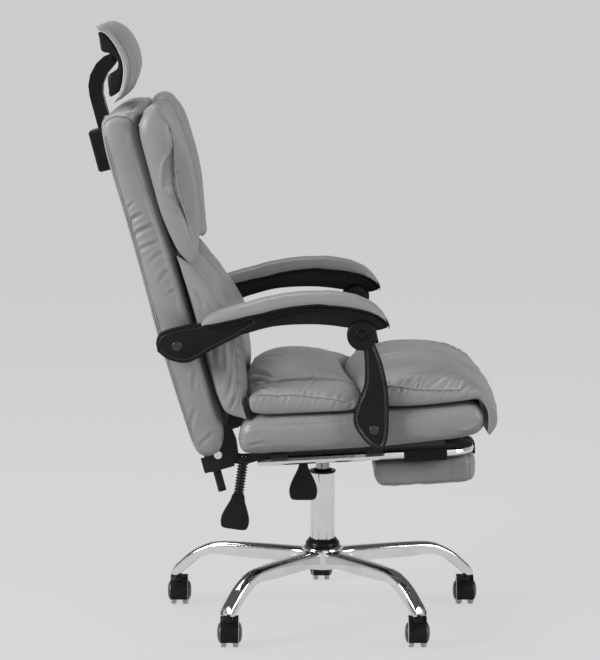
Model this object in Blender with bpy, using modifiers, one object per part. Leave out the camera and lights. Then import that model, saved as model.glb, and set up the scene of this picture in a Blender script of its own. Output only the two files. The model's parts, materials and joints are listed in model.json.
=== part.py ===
"""Executive office chair: five-leg chrome base on twin-wheel casters, gas lift, reclining back
with linked armrests, winged and lumbar pillows, tilting headrest and a slide-out footrest.

Units are metres, +Z is up, the chair faces +X and its right-hand side is at -Y.
"""
import math

import bmesh
import bpy
from mathutils import Matrix, Vector

# Clearances shared by every assembly
FIT = 0.0003
BORE_FIT = 0.0004
RUNNING_GAP = 0.001
OVERRUN = 0.004

# Casters: wheels, hood and stem
WHEEL_RADIUS = 0.029
WHEEL_TREAD_WIDTH = 0.012
WHEEL_GAP = 0.013
WHEEL_CAP_DEPTH = 0.0065
WHEEL_CAP_RADIUS = 0.019
WHEEL_CAP_CROWN_SHARES = (0.85, 0.55)
WHEEL_BORE_SHARE = 0.5
AXLE_DIAMETER = 0.006
HOOD_GAP = 0.0015
HOOD_WALL = 0.003
HOOD_WIDTH = 0.036
HOOD_FRONT_ANGLE = math.radians(203)
HOOD_REAR_ANGLE = math.radians(68)
WEB_THICKNESS = 0.010
WEB_EYE_RADIUS = 0.011
WEB_INSET_ANGLE = math.radians(4)
CASTER_TRAIL = 0.0185
STEM_DIAMETER = 0.011
STEM_ENGAGEMENT = 0.0115

# Star base
LEG_COUNT = 5
LEG_FIRST_ANGLE = math.radians(90)
LEG_REACH = 0.316
LEG_RISE = 0.146
LEG_TIP_RISE = 0.071
LEG_ROOT_WIDTH = 0.036
LEG_TIP_WIDTH = 0.028
LEG_CHAMFER = 0.007
LEG_WALL = 0.0025
HUB_DIAMETER = 0.086
HUB_HEIGHT = 0.046
HUB_BOTTOM = 0.109
SOCKET_DIAMETER = 0.0155
SOCKET_HEIGHT = 0.0135
LEG_TOP_SHARES = ((0.10, 1.0), (0.58, 1.0), (0.745, 0.979), (0.84, 0.905), (0.92, 0.80), (0.99, 0.665),
                  (1.02, 0.60), (1.038, 0.52))
LEG_DEPTH_SHARES = (1.0, 0.90, 0.67, 0.80, 0.90, 0.87, 0.55, 0.16)
LEG_DEPTH = 0.030

# Gas lift column
COLUMN_DIAMETER = 0.050
COLUMN_WALL = 0.002
COLUMN_BOTTOM = 0.105
COLUMN_TOP = 0.302
COLLAR_DIAMETER = 0.070
COLLAR_TOP_DIAMETER = 0.056
COLLAR_HEIGHT = 0.0135
BUSH_FLANGE_DIAMETER = 0.054
BUSH_FLANGE_HEIGHT = 0.013
BUSH_DEPTH = 0.050
PISTON_DIAMETER = 0.028
PISTON_BOTTOM = 0.165

# Seat: height of its underside at the column, and its tilt
SEAT_HEIGHT = 0.392
SEAT_TILT = math.radians(3.0)
CUSHION_WIDTH = 0.512
SEAT_LENGTH = 0.490
SEAT_REAR = 0.168
SEAT_DEPTH = 0.083
SEAT_BOARD_THICKNESS = 0.012
SEAT_BOARD_MARGIN = 0.028
SEAT_BOARD_SETBACK = 0.084
SEAT_EDGE = 0.020
SEAT_OUTLINE_SHARES = ((0.035, 0.02), (0.15, 0.0), (0.35, 0.0), (0.65, 0.0), (0.84, 0.05), (0.955, 0.17),
                       (1.0, 0.50), (0.99, 0.80), (0.955, 1.0), (0.55, 1.0), (0.13, 1.0), (0.085, 0.93),
                       (0.045, 0.78), (0.008, 0.62), (0.0, 0.40))

# Seat pads lying on the box cushion
PAD_WIDTH = 0.506
PAD_EDGE = 0.016
REAR_PAD_LENGTH = 0.188
REAR_PAD_REAR = 0.138
REAR_PAD_THICKNESS = 0.093
REAR_PAD_SHARES = ((0.05, 0.0), (0.35, 0.0), (0.65, 0.0), (0.93, 0.0), (1.0, 0.20), (0.985, 0.44),
                   (0.92, 0.68), (0.80, 0.86), (0.62, 0.98), (0.42, 1.0), (0.20, 0.86), (0.05, 0.60),
                   (0.0, 0.40), (0.0, 0.16))
FRONT_PAD_START = 0.054
FRONT_PAD_LENGTH = 0.304
FRONT_PAD_BOTTOM = 0.010
FRONT_PAD_HEIGHT = 0.182
FRONT_PAD_SHARES = ((-0.01, 0.70), (0.03, 0.87), (0.16, 0.98), (0.36, 1.01), (0.60, 0.975), (0.80, 0.885),
                    (0.94, 0.78), (1.0, 0.52), (1.01, 0.24), (0.985, 0.05), (0.92, -0.01), (0.865, 0.06),
                    (0.85, 0.33), (0.78, 0.46), (0.40, 0.48), (0.05, 0.48))
PAD_STATIONS = ((1.0, 0.8, 0.32), (0.98, 0.25, 0.44), (0.85, 0.0, 0.53), (0.68, 0.0, 0.56),
                (0.42, 0.0, 0.78),
                (0.20, 0.0, 0.97), (0.0, 0.0, 1.02))
FRONT_PAD_STATIONS = ((1.0, 0.9, 0.68), (0.98, 0.4, 0.76), (0.88, 0.0, 0.84), (0.55, 0.0, 0.89),
                      (0.22, 0.0, 0.99),
                      (0.0, 0.0, 1.02))
BOX_STATIONS = ((1.0, 0.6, 1.0), (0.975, 0.12, 1.0), (0.93, 0.0, 1.0))

# Seat frame: mechanism pan, rails, recline cheeks and link ears
PAN_LENGTH = 0.190
PAN_REAR = 0.105
PAN_WIDTH = 0.150
PAN_DEPTH = 0.053
PAN_SOCKET_DEPTH = 0.026
RAIL_WIDTH = 0.034
RAIL_DEPTH = 0.009
RAIL_SPREAD = 0.190
RAIL_REAR = 0.120
RAIL_FRONT = 0.292
CROSS_RAIL_REAR = 0.088
CHEEK_THICKNESS = 0.006
CHEEK_CENTRE = 0.2085
CHEEK_EYE_RADIUS = 0.013
CHEEK_ARC_START = math.radians(62)
CHEEK_ARC_END = math.radians(262)
RECLINE_BACK = 0.208
RECLINE_RISE = 0.002
RECLINE_SHAFT_DIAMETER = 0.012
SHAFT_HEAD_DIAMETER = 0.016
SHAFT_HEAD_HEIGHT = 0.004
EAR_WIDTH = 0.034
EAR_THICKNESS = 0.005
EAR_INSET = 0.024
EAR_BOSS_DIAMETER = 0.026
LINK_PIVOT_X = 0.100
LINK_PIVOT_RISE = 0.046
LINK_BOLT_DIAMETER = 0.008
BOLT_HEAD_DIAMETER = 0.017
BOLT_HEAD_HEIGHT = 0.005
LINK_BOLT_GRIP = 0.020
ARM_BOLT_GRIP = 0.016

# Gas-lift lever
LIFT_LEVER_DIAMETER = 0.009
LIFT_LEVER_BACK = 0.046
LIFT_LEVER_DROP = 0.0375
LIFT_LEVER_INSET = 0.008
LIFT_PADDLE_Y = 0.166
LIFT_PADDLE_DROP = 0.064
LIFT_PADDLE_WIDTH = 0.056
LIFT_PADDLE_SHARES = ((-0.15, 0.20), (0.15, 0.20), (0.15, -0.11), (0.22, -0.13), (0.45, -0.54),
                      (0.50, -0.70), (0.47, -0.90), (0.36, -1.0), (-0.36, -1.0), (-0.47, -0.90),
                      (-0.50, -0.70), (-0.44, -0.50), (-0.15, -0.14))
PADDLE_THICKNESS = 0.012
LEVER_SLOT_PLAY = 0.002

# Recline lever with its ribbed sleeve
RECLINE_LEVER_DIAMETER = 0.008
RECLINE_LEVER_BACK = 0.158
RECLINE_LEVER_DROP = 0.0068
RECLINE_LEVER_Y = 0.2425
RECLINE_LEVER_TILT = math.radians(8.0)
RECLINE_LEVER_BEND = 0.006
RECLINE_LEVER_LENGTH = 0.077
SLEEVE_DIAMETER = 0.0185
SLEEVE_GROOVE = 0.0020
SLEEVE_START = 0.007
SLEEVE_LENGTH = 0.054
SLEEVE_RIBS = 13
SLEEVE_SIDES = 10
RECLINE_PADDLE_DROP = 0.071
RECLINE_PADDLE_WIDTH = 0.056
RECLINE_PADDLE_SHARES = ((-0.17, 0.0), (0.17, 0.0), (0.30, -0.28), (0.45, -0.55), (0.50, -0.72),
                         (0.48, -0.88), (0.37, -1.0), (-0.37, -1.0), (-0.48, -0.88), (-0.50, -0.72),
                         (-0.44, -0.50), (-0.28, -0.24))

# Back: leans back from the recline axis
BACK_LEAN = math.radians(14.7)
BACK_THICKNESS = 0.079
BACK_FRONT = 0.024
BACK_BOTTOM = 0.004
BACK_EDGE = 0.016
BACK_OUTLINE_SHARES = ((0.52, 0.0), (0.24, 0.012), (0.15, 0.06), (0.07, 0.20), (0.03, 0.40), (0.03, 0.62),
                       (0.0, 0.86), (0.0, 0.93), (0.10, 0.965), (0.30, 0.99), (0.60, 1.0), (0.88, 0.992),
                       (1.0, 0.955), (1.0, 0.75), (1.0, 0.50), (1.0, 0.25), (1.0, 0.12), (0.97, 0.05),
                       (0.80, 0.012))
UPPER_PILLOW_HEIGHT = 0.311
UPPER_PILLOW_THICKNESS = 0.073
UPPER_PILLOW_SHARES = ((0.0, 0.18), (0.12, 0.09), (0.36, 0.01), (0.56, 0.02), (0.72, 0.14), (0.88, 0.32),
                       (1.0, 0.52), (0.95, 0.67), (0.78, 0.78), (0.82, 0.88), (0.60, 1.0), (0.30, 1.0),
                       (0.0, 0.88), (0.0, 0.50))
UPPER_PILLOW_STATIONS = ((1.0, 1.0, 0.76), (0.98, 0.35, 0.92), (0.86, 0.05, 1.02), (0.66, 0.0, 0.98),
                         (0.42, 0.0, 0.78), (0.0, 0.0, 0.68))
LUMBAR_BOTTOM = 0.057
LUMBAR_HEIGHT = 0.350
LUMBAR_THICKNESS = 0.094
LUMBAR_SHARES = ((0.0, 0.05), (0.20, 0.01), (0.52, -0.01), (0.62, 0.07), (0.75, 0.19), (0.97, 0.34),
                 (1.03, 0.44), (1.03, 0.55), (0.83, 0.68), (0.48, 0.82), (0.22, 0.93), (0.02, 1.0),
                 (0.0, 0.70), (0.0, 0.36))
LUMBAR_STATIONS = ((1.0, 1.0, 0.66), (0.98, 0.35, 0.78), (0.84, 0.0, 1.04), (0.66, 0.0, 0.98),
                   (0.42, 0.0, 0.80),
                   (0.0, 0.0, 0.78))
PILLOW_WIDTH = 0.500
PILLOW_EDGE = 0.018
PILLOW_LAP = 0.027
UPPER_PILLOW_BOTTOM = LUMBAR_BOTTOM + LUMBAR_HEIGHT - PILLOW_LAP
BACK_TOP_RISE = 0.027
BACK_TOP = UPPER_PILLOW_BOTTOM + UPPER_PILLOW_HEIGHT + BACK_TOP_RISE
BACK_HEIGHT = BACK_TOP - BACK_BOTTOM

# Back frame
BACK_PLATE_THICKNESS = 0.005
BACK_PLATE_CENTRE = 0.2150
BACK_PLATE_HEIGHT = 0.262
BACK_PLATE_REAR = 0.027
BACK_PLATE_FRONT = 0.0215
BACK_TAIL_REAR = 0.035
BACK_TAIL_DROP = 0.031
BACK_NECK_FRONT = 0.043
BACK_NECK_RISE = 0.062
BACK_NECK_SHARES = ((-0.48, -0.50), (0.60, -0.485), (0.70, -0.26), (0.93, -0.08), (1.0, 0.34), (0.93, 0.74))
BACK_TAIL_TOP_SHARE = 0.03
CROSS_BAR_WIDTH = 0.020
CROSS_BAR_DEPTH = 0.008
TAIL_POST_DIAMETER = 0.0165
TAIL_POST_LENGTH = 0.0755
TAIL_POST_BACK = 0.0118
TAIL_POST_CENTRE = 0.196

# Armrests: rear pivot on the back, front pivot on the link
ARM_PIVOT_BACK = 0.015
ARM_PIVOT_HEIGHT = 0.240
ARM_REACH = 0.356
ARM_HEIGHT = 0.107
ARM_THICKNESS = 0.022
ARM_BOSS_DIAMETER = 0.034
ARM_BOSS_GAP = 0.0025
BACK_BOSS_DIAMETER = 0.020
ARM_PAD_WIDTH = 0.052
ARM_PAD_EDGE = 0.012
ARM_PAD_STATIONS = ((1.0, 0.8, 0.90), (0.88, 0.10, 0.99), (0.30, 0.0, 1.02))
ARM_PAD_UNDER_SHARES = ((1.07, 0.42), (0.90, 0.67), (0.66, 0.67), (0.40, 0.50), (0.20, 0.38))
ARM_DISC_DIAMETER = 0.058
ARM_DISC_THICKNESS = 0.006
FRONT_PIN_DIAMETER = 0.014
FRONT_PIN_PLAY = 0.003
FRONT_PIVOT_HEIGHT_SHARE = 0.196
ARM_TOP_SHARES = ((1.143, 0.383), (1.034, 0.645), (0.947, 0.757), (0.784, 0.785), (0.607, 0.738),
                  (0.463, 0.645), (0.303, 0.486), (0.132, 0.411), (-0.065, 0.271), (-0.101, 0.196),
                  (-0.112, 0.075))
ARM_BOTTOM_SHARES = ((-0.101, -0.103), (-0.02, -0.28), (0.042, -0.299), (0.112, -0.206), (0.177, -0.075),
                     (0.303, 0.14), (0.427, 0.262), (0.562, 0.383), (0.697, 0.393), (0.829, 0.364),
                     (0.919, 0.318), (1.09, 0.318))
ARM_PAD_TOP_SHARES = ((0.129, 0.449), (0.23, 0.654), (0.374, 0.785), (0.562, 0.944), (0.75, 1.0),
                      (0.947, 0.953), (1.053, 0.804), (1.126, 0.561), (1.143, 0.40))
LINK_SIDE_GAP = 0.0095
LINK_THICKNESS = 0.014
LINK_WIDTH = 0.072
LINK_HEAD_RADIUS = 0.024
LINK_REAR_SHARES = ((-0.10, 0.99), (-0.01, 0.87), (-0.03, 0.66), (-0.125, 0.46), (-0.36, 0.30),
                    (-0.50, 0.17),
                    (-0.49, 0.045), (-0.24, -0.10), (0.11, -0.173))
LINK_FRONT_SHARES = ((0.25, -0.137), (0.39, 0.005), (0.50, 0.346), (0.46, 0.64), (0.32, 0.87), (0.20, 0.99))

# Headrest: stands on the top of the back
MOUNT_HEIGHT = 0.085
MOUNT_SINK = 0.134
MOUNT_DEPTH = 0.042
MOUNT_WIDTH = 0.066
MOUNT_BEVEL = 0.004
SLIDER_DEPTH = 0.0155
SLIDER_HEAD_DEPTH = 0.0265
SLIDER_WIDTH = 0.038
SLIDER_INSET = 0.016
SLIDER_NECK = 0.021
SLIDER_HEAD_HEIGHT = 0.045
SLIDER_FRONT_WALL = 0.0055
HEAD_PIVOT_BACK = 0.014
HEAD_PIVOT_RISE = 0.062
HEAD_PIN_DIAMETER = 0.008
HEAD_BARREL_RADIUS = 0.011
HEAD_ARM_SHARES = ((0.0, 0.0), (0.05, 0.36), (0.20, 0.68), (0.48, 0.98), (0.78, 1.14), (1.02, 1.17),
                   (1.15, 1.0), (1.08, 0.82), (0.74, 0.58), (0.52, 0.29), (0.43, 0.0))
HEAD_PAD_WIDTH = 0.285
HEAD_PAD_EDGE = 0.012
HEAD_PAD_HEIGHT = 0.156
HEAD_PAD_DEPTH = 0.080
HEAD_PAD_FRONT = 0.068
HEAD_PAD_GAP = 0.001
HEAD_PAD_FRONT_SHARES = ((0.18, -0.01), (0.56, 0.06), (0.84, 0.22), (1.02, 0.46), (0.97, 0.71),
                         (0.74, 0.93),
                         (0.42, 1.02), (0.12, 0.97))
HEAD_PAD_REAR_SHARES = ((0.10, 0.90), (0.30, 0.79), (0.46, 0.60), (0.46, 0.39), (0.27, 0.16), (0.05, 0.06))
HEAD_PAD_STATIONS = ((1.0, 0.9, 0.60), (0.95, 0.2, 0.84), (0.72, 0.0, 1.0), (0.0, 0.0, 1.02))
HEAD_SHELL_WALL = 0.005
HEAD_SHELL_WIDTH = 0.230
HEAD_EAR_THICKNESS = 0.006
HEAD_EAR_RADIUS = 0.009
MOUNT_BOTTOM = BACK_TOP - MOUNT_SINK
SLIDER_BOTTOM = MOUNT_BOTTOM + SLIDER_INSET
SLIDER_SHOULDER = MOUNT_BOTTOM + MOUNT_HEIGHT + SLIDER_NECK
SLIDER_TOP = SLIDER_SHOULDER + SLIDER_HEAD_HEIGHT
HEAD_PIVOT_HEIGHT = SLIDER_TOP + HEAD_PIVOT_RISE
HEAD_PAD_BOTTOM = HEAD_PIVOT_HEIGHT - BACK_TOP - HEAD_PAD_GAP

# Footrest
FOOT_TUBE_DIAMETER = 0.018
FOOT_TUBE_DROP = 0.0215
FOOT_TUBE_REAR = 0.132
FOOT_TUBE_FRONT = 0.299
FOOT_TUBE_BEND = 0.040
FOOT_BEND_STEPS = 6
GUIDE_START = 0.158
GUIDE_LENGTH = 0.085
GUIDE_WIDTH = 0.032
GUIDE_HEIGHT = 0.025
FOOT_PAD_GAP = 0.004
FOOT_PAD_WIDTH = 2 * (RAIL_SPREAD - GUIDE_WIDTH / 2 - FOOT_PAD_GAP)
FOOT_PAD_LENGTH = 0.199
FOOT_PAD_THICKNESS = 0.058
FOOT_PAD_TOP = 0.0325
FOOT_PAD_EDGE = 0.010
FOOT_PAD_SHARES = ((0.0, 0.20), (0.02, 0.0), (0.30, 0.0), (0.70, 0.0), (0.97, 0.0), (1.0, 0.18),
                   (1.0, 0.80), (0.955, 1.0), (0.70, 1.0), (0.30, 1.0), (0.045, 1.0), (0.0, 0.82))
FOOT_PAD_STATIONS = ((1.0, 0.9, 1.0), (0.96, 0.15, 1.0), (0.70, 0.0, 1.0))
FOOT_BOARD_THICKNESS = 0.008
FOOT_BOARD_MARGIN = 0.022
FOOT_LUG_WIDTH = 0.024
FOOT_LUG_INSET = 0.038
FOOT_LUG_SPREAD = FOOT_PAD_WIDTH / 2 - FOOT_BOARD_MARGIN - FOOT_LUG_INSET
FOOT_LUG_WALL = 0.004

# Facet counts
ROUND_SIDES = 20
WHEEL_SIDES = 16
SMALL_SIDES = 10
SMOOTH_STEPS = 2
HOOD_STEPS = 7
CHEEK_STEPS = 9
LEVER_BEND_STEPS = 4
EAR_STEPS = 8
LUG_STEPS = 12
TUBE_ROUNDNESS = 3
SHARP_ANGLE = math.radians(35)
MERGE_DISTANCE = 0.00001

FULL_TURN = 2 * math.pi
HALF_TURN = math.pi
QUARTER_TURN = math.pi / 2
RIGHT_AND_LEFT = (("right", -1), ("left", 1))


def clear_scene():
    """Remove every object of the open scene."""
    for old in list(bpy.data.objects):
        bpy.data.objects.remove(old, do_unlink=True)


def new_collection(name):
    """Return a new collection linked under the scene."""
    collection = bpy.data.collections.new(name)
    bpy.context.scene.collection.children.link(collection)
    return collection


def make_material(name, colour, roughness, metallic=0.0):
    """Return a Principled material."""
    material = bpy.data.materials.new(name)
    material.use_nodes = True
    shader = material.node_tree.nodes["Principled BSDF"]
    shader.inputs["Base Color"].default_value = (*colour, 1.0)
    shader.inputs["Roughness"].default_value = roughness
    shader.inputs["Metallic"].default_value = metallic
    return material


clear_scene()
CHAIR = new_collection("executive_office_chair")
CUTTERS = new_collection("cutters")

LEATHER = make_material("grey_leather", (0.26, 0.255, 0.262), 0.45)
PLASTIC = make_material("black_plastic", (0.018, 0.018, 0.019), 0.42)
BLACK_STEEL = make_material("black_steel", (0.012, 0.012, 0.013), 0.38, 0.6)
CHROME = make_material("chrome", (0.80, 0.80, 0.81), 0.08, 1.0)
PISTON_STEEL = make_material("brushed_steel", (0.42, 0.42, 0.43), 0.32, 1.0)
SHELL_PLASTIC = make_material("dark_grey_plastic", (0.035, 0.035, 0.037), 0.5)
RUBBER = make_material("black_rubber", (0.014, 0.014, 0.014), 0.7)
TREAD = make_material("white_polyurethane", (0.72, 0.72, 0.72), 0.45)
PLYWOOD = make_material("plywood", (0.42, 0.28, 0.15), 0.65)


def frame(name, parent=None, location=(0, 0, 0), rotation=(0, 0, 0)):
    """Return an empty that carries other pieces."""
    carrier = bpy.data.objects.new(name, None)
    CHAIR.objects.link(carrier)
    carrier.parent = parent
    carrier.location = location
    carrier.rotation_euler = rotation
    return carrier


def solid(name, mesh, material, parent, location=(0, 0, 0), rotation=(0, 0, 0)):
    """Return an object of the chair that shows the mesh."""
    piece = bpy.data.objects.new(name, mesh)
    CHAIR.objects.link(piece)
    piece.parent = parent
    piece.location = location
    piece.rotation_euler = rotation
    if not mesh.materials:
        mesh.materials.append(material)
    return piece


def mesh_from(bm, name):
    """Write a bmesh to a new mesh with outward faces."""
    bmesh.ops.recalc_face_normals(bm, faces=bm.faces)
    mesh = bpy.data.meshes.new(name)
    bm.to_mesh(mesh)
    bm.free()
    return mesh


def box_mesh(name, low, high):
    """Return a box between two corners."""
    bm = bmesh.new()
    size = [high[i] - low[i] for i in range(3)]
    middle = [(high[i] + low[i]) / 2 for i in range(3)]
    bmesh.ops.create_cube(bm, size=1.0, matrix=Matrix.Translation(middle) @ Matrix.Diagonal((*size, 1.0)))
    return mesh_from(bm, name)


def rod_mesh(name, start, end, diameter, sides=ROUND_SIDES, end_diameter=None):
    """Return a round rod, or a cone, between two points."""
    start, end = Vector(start), Vector(end)
    run = end - start
    turn = Vector((0, 0, 1)).rotation_difference(run.normalized()).to_matrix().to_4x4()
    tip = diameter if end_diameter is None else end_diameter
    bm = bmesh.new()
    bmesh.ops.create_cone(bm, cap_ends=True, segments=sides, radius1=diameter / 2, radius2=tip / 2,
                          depth=run.length, matrix=Matrix.Translation((start + end) / 2) @ turn)
    return mesh_from(bm, name)


def evaluated_mesh(piece):
    """Return the mesh of an object with its modifiers applied, in its parent's coordinates."""
    graph = bpy.context.evaluated_depsgraph_get()
    mesh = bpy.data.meshes.new_from_object(piece.evaluated_get(graph))
    mesh.transform(piece.matrix_basis)
    return mesh


def welded_curve(name, curve, matrix):
    """Turn a closed curve solid into a mesh whose caps are welded."""
    guide = bpy.data.objects.new(name, curve)
    CUTTERS.objects.link(guide)
    guide.matrix_basis = matrix
    mesh = evaluated_mesh(guide)
    bpy.data.objects.remove(guide, do_unlink=True)
    bm = bmesh.new()
    bm.from_mesh(mesh)
    bmesh.ops.remove_doubles(bm, verts=bm.verts, dist=MERGE_DISTANCE)
    return mesh_from(bm, name)


def plate_mesh(name, outline, y_from, y_to, smooth=False):
    """Return a flat outline in X and Z, extruded between two places on Y."""
    curve = bpy.data.curves.new(name, "CURVE")
    curve.dimensions = "2D"
    curve.fill_mode = "BOTH"
    curve.extrude = abs(y_to - y_from) / 2
    curve.resolution_u = SMOOTH_STEPS
    spline = curve.splines.new("BEZIER" if smooth else "POLY")
    points = spline.bezier_points if smooth else spline.points
    points.add(len(outline) - 1)
    for point, (x, z) in zip(points, outline):
        if smooth:
            point.co = (x, z, 0)
            point.handle_left_type = "AUTO"
            point.handle_right_type = "AUTO"
        else:
            point.co = Vector((x, z, 0)).to_4d()
    spline.use_cyclic_u = True
    stand = Matrix.Translation((0, (y_from + y_to) / 2, 0)) @ Matrix.Rotation(QUARTER_TURN, 4, "X")
    return welded_curve(name, curve, stand)


def tube_mesh(name, points, diameter, sides_level=2):
    """Return a round bar along the points."""
    curve = bpy.data.curves.new(name, "CURVE")
    curve.dimensions = "3D"
    curve.bevel_depth = diameter / 2
    curve.bevel_resolution = sides_level
    curve.use_fill_caps = True
    spline = curve.splines.new("POLY")
    spline.points.add(len(points) - 1)
    for point, place in zip(spline.points, points):
        point.co = Vector(place).to_4d()
    return welded_curve(name, curve, Matrix.Identity(4))


def turned_mesh(name, profile, sides=ROUND_SIDES, closed=False):
    """Return a solid turned about Z; the profile runs down its outer side."""
    bm = bmesh.new()
    row = [bm.verts.new((radius, 0, height)) for radius, height in profile]
    for first, second in zip(row, row[1:]):
        bm.edges.new((first, second))
    if closed:
        bm.edges.new((row[-1], row[0]))
    mesh = bpy.data.meshes.new(name)
    bm.to_mesh(mesh)
    bm.free()
    guide = bpy.data.objects.new(name, mesh)
    CUTTERS.objects.link(guide)
    screw = guide.modifiers.new("turn", "SCREW")
    screw.steps = sides
    screw.render_steps = sides
    screw.use_merge_vertices = True
    screw.merge_threshold = MERGE_DISTANCE
    result = evaluated_mesh(guide)
    bpy.data.objects.remove(guide, do_unlink=True)
    bm = bmesh.new()
    bm.from_mesh(result)
    bmesh.ops.remove_doubles(bm, verts=bm.verts, dist=MERGE_DISTANCE)
    return mesh_from(bm, name)


def combine(piece, tool_mesh, operation, parent=None, location=(0, 0, 0), rotation=(0, 0, 0)):
    """Cut a mesh from a piece, or join it, with an exact Boolean."""
    tool = bpy.data.objects.new(piece.name + "_" + operation.lower(), tool_mesh)
    CUTTERS.objects.link(tool)
    tool.parent = parent if parent else piece.parent
    tool.location = location
    tool.rotation_euler = rotation
    tool.display_type = "WIRE"
    tool.hide_render = True
    modifier = piece.modifiers.new(operation.lower(), "BOOLEAN")
    modifier.operation = operation
    modifier.object = tool
    modifier.solver = "EXACT"


def cut(piece, tool_mesh, **place):
    """Cut a mesh from a piece."""
    combine(piece, tool_mesh, "DIFFERENCE", **place)


def join(piece, tool_mesh, **place):
    """Join a mesh to a piece."""
    combine(piece, tool_mesh, "UNION", **place)


def bevel(piece, width, segments=1):
    """Round the sharp edges of a piece."""
    modifier = piece.modifiers.new("bevel", "BEVEL")
    modifier.width = width
    modifier.segments = segments
    modifier.limit_method = "ANGLE"


def smooth_shading(piece):
    """Shade the round faces of a piece smooth."""
    piece.data.shade_smooth()
    piece.data.set_sharp_from_angle(angle=SHARP_ANGLE)


def arc(centre, radius, start, end, steps):
    """Return points along an arc in the plane of an outline."""
    turn = (end - start) / steps
    return [(centre[0] + radius * math.cos(start + turn * i),
             centre[1] + radius * math.sin(start + turn * i))
            for i in range(steps + 1)]


def scaled(shares, run, rise, start=(0, 0)):
    """Return outline points from shares of a run and a rise."""
    return [(start[0] + x * run, start[1] + z * rise) for x, z in shares]


def bore_radius(diameter, sides=ROUND_SIDES):
    """Return the corner radius of a faceted bore that clears a round shaft."""
    return (diameter / 2 + BORE_FIT) / math.cos(math.pi / sides)


def bore_mesh(name, start, end, diameter, sides=SMALL_SIDES):
    """Return the cutter of a running fit for a shaft of the given diameter."""
    return rod_mesh(name, start, end, 2 * bore_radius(diameter, sides), sides)


def cushion_mesh(name, outline, width, edge, stations, upright=False, growth=0.0):
    """Return the cage of a cushion: its side outline carried across the width.

    Each station of one half is a share of the half width, an inset as a share of the edge radius
    and a share of the crown's height, which is along X on an upright cushion and along Z otherwise.
    """
    low = [min(point[i] for point in outline) for i in range(2)]
    high = [max(point[i] for point in outline) for i in range(2)]
    middle = [(low[i] + high[i]) / 2 for i in range(2)]
    span = [high[i] - low[i] for i in range(2)]
    tall = 0 if upright else 1
    places = [(-share, inset, height) for share, inset, height in stations]
    places += [station for station in reversed(stations) if station[0] > 0]
    bm = bmesh.new()
    rings = []
    for share, inset, height in places:
        ring = []
        for point in outline:
            spot = [middle[i] + (point[i] - middle[i]) * (1 + 2 * (growth - edge * inset) / span[i])
                    for i in range(2)]
            spot[tall] = low[tall] - growth + (spot[tall] - low[tall] + growth) * height
            ring.append(bm.verts.new((spot[0], share * (width / 2 + growth), spot[1])))
        rings.append(ring)
    count = len(outline)
    for first, second in zip(rings, rings[1:]):
        for i in range(count):
            following = (i + 1) % count
            bm.faces.new((first[i], second[i], second[following], first[following]))
    bm.faces.new(rings[0])
    bm.faces.new(reversed(rings[-1]))
    return mesh_from(bm, name)


def soften(piece, levels=1):
    """Round a cushion's cage with a subdivision surface."""
    subdivision = piece.modifiers.new("soften", "SUBSURF")
    subdivision.levels = levels
    subdivision.render_levels = levels


def leg_mesh():
    """Return one pressed channel leg with its stem socket, along +X."""
    bm = bmesh.new()
    sections = []
    last_share = LEG_TOP_SHARES[-1][0]
    for (run, rise), depth_share in zip(LEG_TOP_SHARES, LEG_DEPTH_SHARES):
        half = (LEG_ROOT_WIDTH + (LEG_TIP_WIDTH - LEG_ROOT_WIDTH) * run / last_share) / 2
        top = rise * LEG_RISE
        depth = LEG_DEPTH * depth_share
        shoulder = min(LEG_CHAMFER, depth / 2)
        across = ((-half, top - depth), (-half, top - shoulder), (shoulder - half, top),
                  (half - shoulder, top), (half, top - shoulder), (half, top - depth))
        sections.append([bm.verts.new((run * LEG_REACH, y, z)) for y, z in across])
    for first, second in zip(sections, sections[1:]):
        for i in range(len(first) - 1):
            bm.faces.new((first[i], second[i], second[i + 1], first[i + 1]))
    bm.faces.new(reversed(sections[-1]))
    mesh = bpy.data.meshes.new("leg")
    bm.to_mesh(mesh)
    bm.free()
    guide = bpy.data.objects.new("leg_guide", mesh)
    CUTTERS.objects.link(guide)
    wall = guide.modifiers.new("wall", "SOLIDIFY")
    wall.thickness = LEG_WALL
    wall.offset = -1
    wall.use_even_offset = True
    socket_top = LEG_TIP_RISE + SOCKET_HEIGHT
    join(guide, rod_mesh("socket", (LEG_REACH, 0, LEG_TIP_RISE), (LEG_REACH, 0, socket_top),
                         SOCKET_DIAMETER,
                         SMALL_SIDES))
    cut(guide, bore_mesh("stem_bore", (LEG_REACH, 0, LEG_TIP_RISE - OVERRUN),
                         (LEG_REACH, 0, stem_top() + FIT), STEM_DIAMETER))
    result = evaluated_mesh(guide)
    bpy.data.objects.remove(guide, do_unlink=True)
    return result


def stem_top():
    """Return the height of a caster stem's upper end."""
    return LEG_TIP_RISE + STEM_ENGAGEMENT


def build_base(model):
    """Build the star base."""
    leg = leg_mesh()
    outer = HUB_DIAMETER / 2
    inner = bore_radius(COLUMN_DIAMETER)
    top = HUB_BOTTOM + HUB_HEIGHT
    star = solid("base_star", rod_mesh("hub", (0, 0, HUB_BOTTOM), (0, 0, top), 2 * outer), CHROME, model)
    for i in range(LEG_COUNT):
        turn = LEG_FIRST_ANGLE + FULL_TURN * i / LEG_COUNT
        join(star, leg, rotation=(0, 0, turn))
    cut(star, rod_mesh("hub_bore", (0, 0, HUB_BOTTOM - OVERRUN), (0, 0, top + OVERRUN), 2 * inner))
    smooth_shading(star)


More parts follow.
